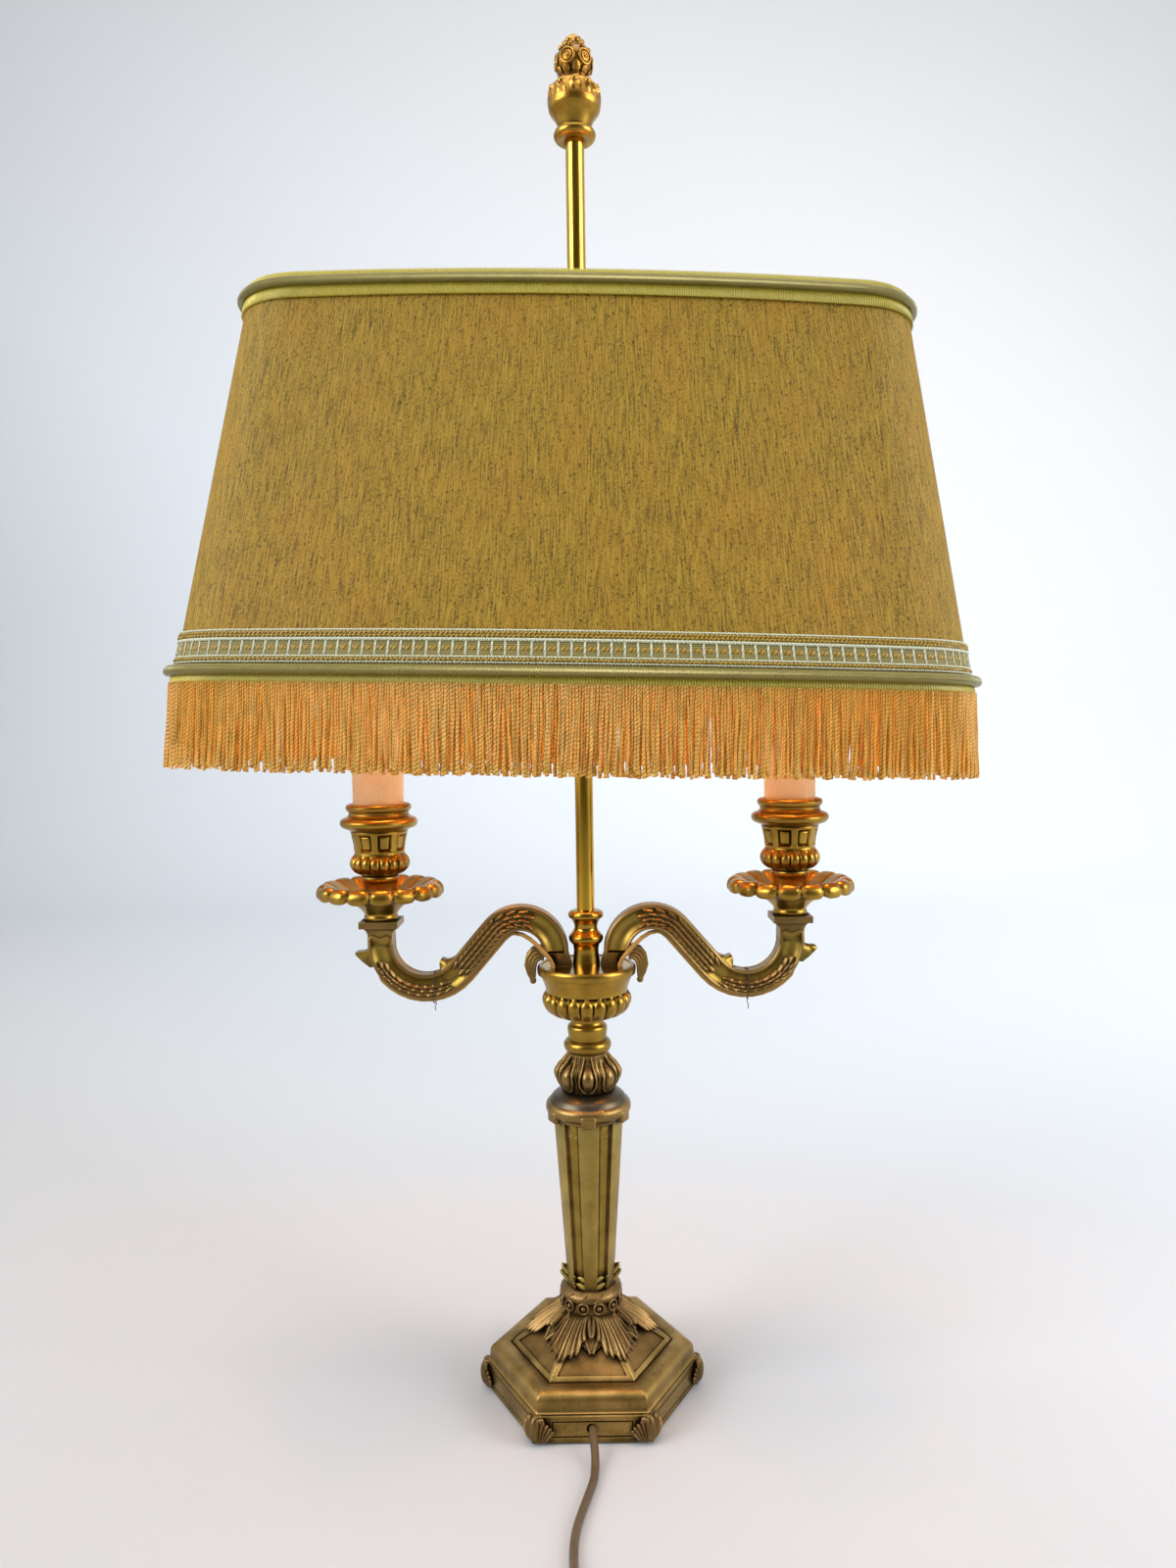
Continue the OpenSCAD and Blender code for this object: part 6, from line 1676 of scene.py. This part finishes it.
    def braid(self) -> list[bpy.types.Object]:
        """Builds the woven braid: its ground, white and ochre rows, and upright bars."""
        low, high = 405.6, 422.1
        section = [(0.06, low), (0.9, low), (0.9, (low + high) / 2), (0.9, high), (0.06, high)]
        made = [self.piece(self.ring(section, 256), "braid_ground", "braid", [CREAM_THREAD], ["bottom_braid"])]
        rows = {
            "white": ((421.7, 0.5, 1.7), (417.2, 0.85, 0), (408.7, 0.45, 1.7), (405.9, 0.5, 1.7)),
            "ochre": ((420.4, 0.75, 2.6), (419.0, 0.75, 2.6), (407.3, 0.8, 2.6)),
        }
        for word, finish in (("white", WHITE_THREAD), ("ochre", OCHRE_THREAD)):
            bm = bmesh.new()
            for z, radius, pitch in rows[word]:
                self.carry(bm, self.strand(z, 0.95, radius, pitch or 2.0, 0.3 if pitch else 0.1))
            if word == "white":
                self.carry(bm, self.blocks(412.8, 4.0, 6.2, 1.05, 1.3))
            else:
                self.carry(bm, self.blocks(412.9, 1.2, 6.2, 4.4, 1.0, 0.5))
            made.append(self.piece(bm, f"braid_{word}", "braid", [finish]))
        return made

    def carry(self, bm: bmesh.types.BMesh, other: bmesh.types.BMesh) -> None:
        """Joins a mesh with its UV into bm."""
        if not bm.loops.layers.uv:
            bm.loops.layers.uv.new("round")
        stamp(bm, other)

    def blocks(
        self, z: float, half: float, pitch: float, wide: float, out: float, shift: float = 0.0
    ) -> bmesh.types.BMesh:
        """Builds a row of woven blocks round the shade.

        Args:
            z: The middle of their height.
            half: Half their height.
            pitch: Millimetres from block to block.
            wide: Their width.
            out: How far out of the cloth they stand.
            shift: How far the row is turned, as a share of the pitch.
        """
        bm = bmesh.new()
        count = int(math.tau * self.work_r / pitch / 8)
        block = bmesh.ops.create_cube(bm, size=1)["verts"]
        bmesh.ops.scale(bm, vec=(0.8, wide, 2 * half), verts=block)
        bmesh.ops.translate(bm, vec=(self.work_r + out - 0.4, 0, z), verts=block)
        rim = {"offset": 0.2, "segments": 1, "profile": 0.5, "affect": "EDGES"}
        bmesh.ops.bevel(bm, geom=bm.edges[:], clamp_overlap=True, material=-1, **rim)
        step = math.tau / (8 * count)
        bmesh.ops.rotate(bm, cent=(0, 0, 0), matrix=Matrix.Rotation(step * shift, 3, "Z"), verts=bm.verts)
        multiply(bm, count, 3, step)
        self.map_round(bm)
        return bm

    def fringe(self) -> bpy.types.Object:
        """Builds the fringe: hundreds of twisted cords in two rows, uneven at their looped ends."""
        bm = bmesh.new()
        for number, (out, radius, shift) in enumerate(((2.2, 0.66, 0.0), (0.7, 0.62, 0.5))):
            self.carry(bm, self.cords(out, radius, shift, 101 + number))
        return self.piece(bm, "fringe_cords", "fringe", [FRINGE], ["fringe"], hang=True)

    def cords(self, out: float, radius: float, shift: float, seed: int) -> bmesh.types.BMesh:
        """Builds one row of the fringe.

        Args:
            out: Its distance out of the cloth's foot.
            radius: A cord's radius.
            shift: How far the row is turned, as a share of the pitch.
            seed: What its unevenness is drawn from.
        """
        rings, sides = 8, 5
        bm = bmesh.new()
        top = self.fringe_top + 1.2
        place = Matrix.Translation((self.work_r + out, 0, top))
        ring = bmesh.ops.create_circle(bm, cap_ends=True, radius=radius, segments=sides, matrix=place)["verts"]
        edges = [e for e in bm.edges if e.verts[0] in ring and e.verts[1] in ring]
        for k in range(rings):
            low, edges = pull(bm, edges)
            bmesh.ops.translate(bm, vec=(0, 0, -(self.fringe_len + 0.4) / rings), verts=low)
        bmesh.ops.edgeloop_fill(bm, edges=edges)
        flat = bm.loops.layers.uv.new("round")
        for face in bm.faces:
            mid = face.calc_center_median()
            middle = math.atan2(mid.y, mid.x - self.work_r - out)
            for loop in face.loops:
                co = loop.vert.co
                a = math.atan2(co.y, co.x - self.work_r - out)
                a += math.tau * round((middle - a) / math.tau)
                loop[flat].uv = (a * radius * MM, co.z * MM)
        count = self.fringe_count
        multiply(bm, count // 32, 5, math.tau / count)
        draw = random.Random(seed)
        clumps = [draw.uniform(-1, 1) for _ in range(count // 9 + 2)]
        own = [
            (draw.uniform(0.92, 1.0), draw.gauss(0, 0.9), draw.uniform(-0.3, 0.9), draw.uniform(0, math.tau), draw.uniform(0.7, 1.35))
            for _ in range(count)
        ]
        for face in bm.faces:
            mid = face.calc_center_median()
            phase = own[round(math.atan2(mid.y, mid.x) / math.tau * count) % count][3]
            for loop in face.loops:
                loop[flat].uv += Vector((67 * phase * MM, 91 * phase * MM))
        for v in bm.verts:
            a = math.atan2(v.co.y, v.co.x)
            number = round(a / math.tau * count) % count
            share, sway, bow, phase, thick = own[number]
            s = (top - v.co.z) / self.fringe_len
            k, f = divmod(number / 9, 1.0)
            clump = clumps[int(k)] * (1 - f) + clumps[int(k) + 1] * f
            centre = math.tau * number / count
            spread = thick + (0.75 if s > 0.96 else 0.0)
            aside = (a - centre + math.pi) % math.tau - math.pi
            drift = (sway * s**1.5 + 1.1 * clump * s * s + 0.18 * math.sin(9 * s + phase)) / self.work_r
            new = centre + aside * spread + drift + shift * math.tau / count
            r = math.hypot(v.co.x, v.co.y) + (bow + 1.1 * abs(math.cos(centre)) ** 3) * s * 1.5 + 0.15 * math.cos(7 * s + phase)
            v.co = (r * math.cos(new), r * math.sin(new), top - (top - v.co.z) * share)
        return bm


def main() -> None:
    """Builds the camera and the cord, then the lamp from its foot to its finial."""
    logging.basicConfig(level=logging.INFO, format="%(message)s")
    studio = Studio()
    studio.camera()
    CordSet().build()
    studio.light()
    studio.backdrop()
    Base().build()
    Column().build()
    Urn().build()
    for side in Side:
        Candle(side).build()
    dress(CONTACT, "holder_contacts")
    Finial().build()
    Shade().build()
    bpy.context.scene.view_settings.view_transform = "Standard"
    bpy.context.view_layer.update()


if __name__ == "__main__":
    main()
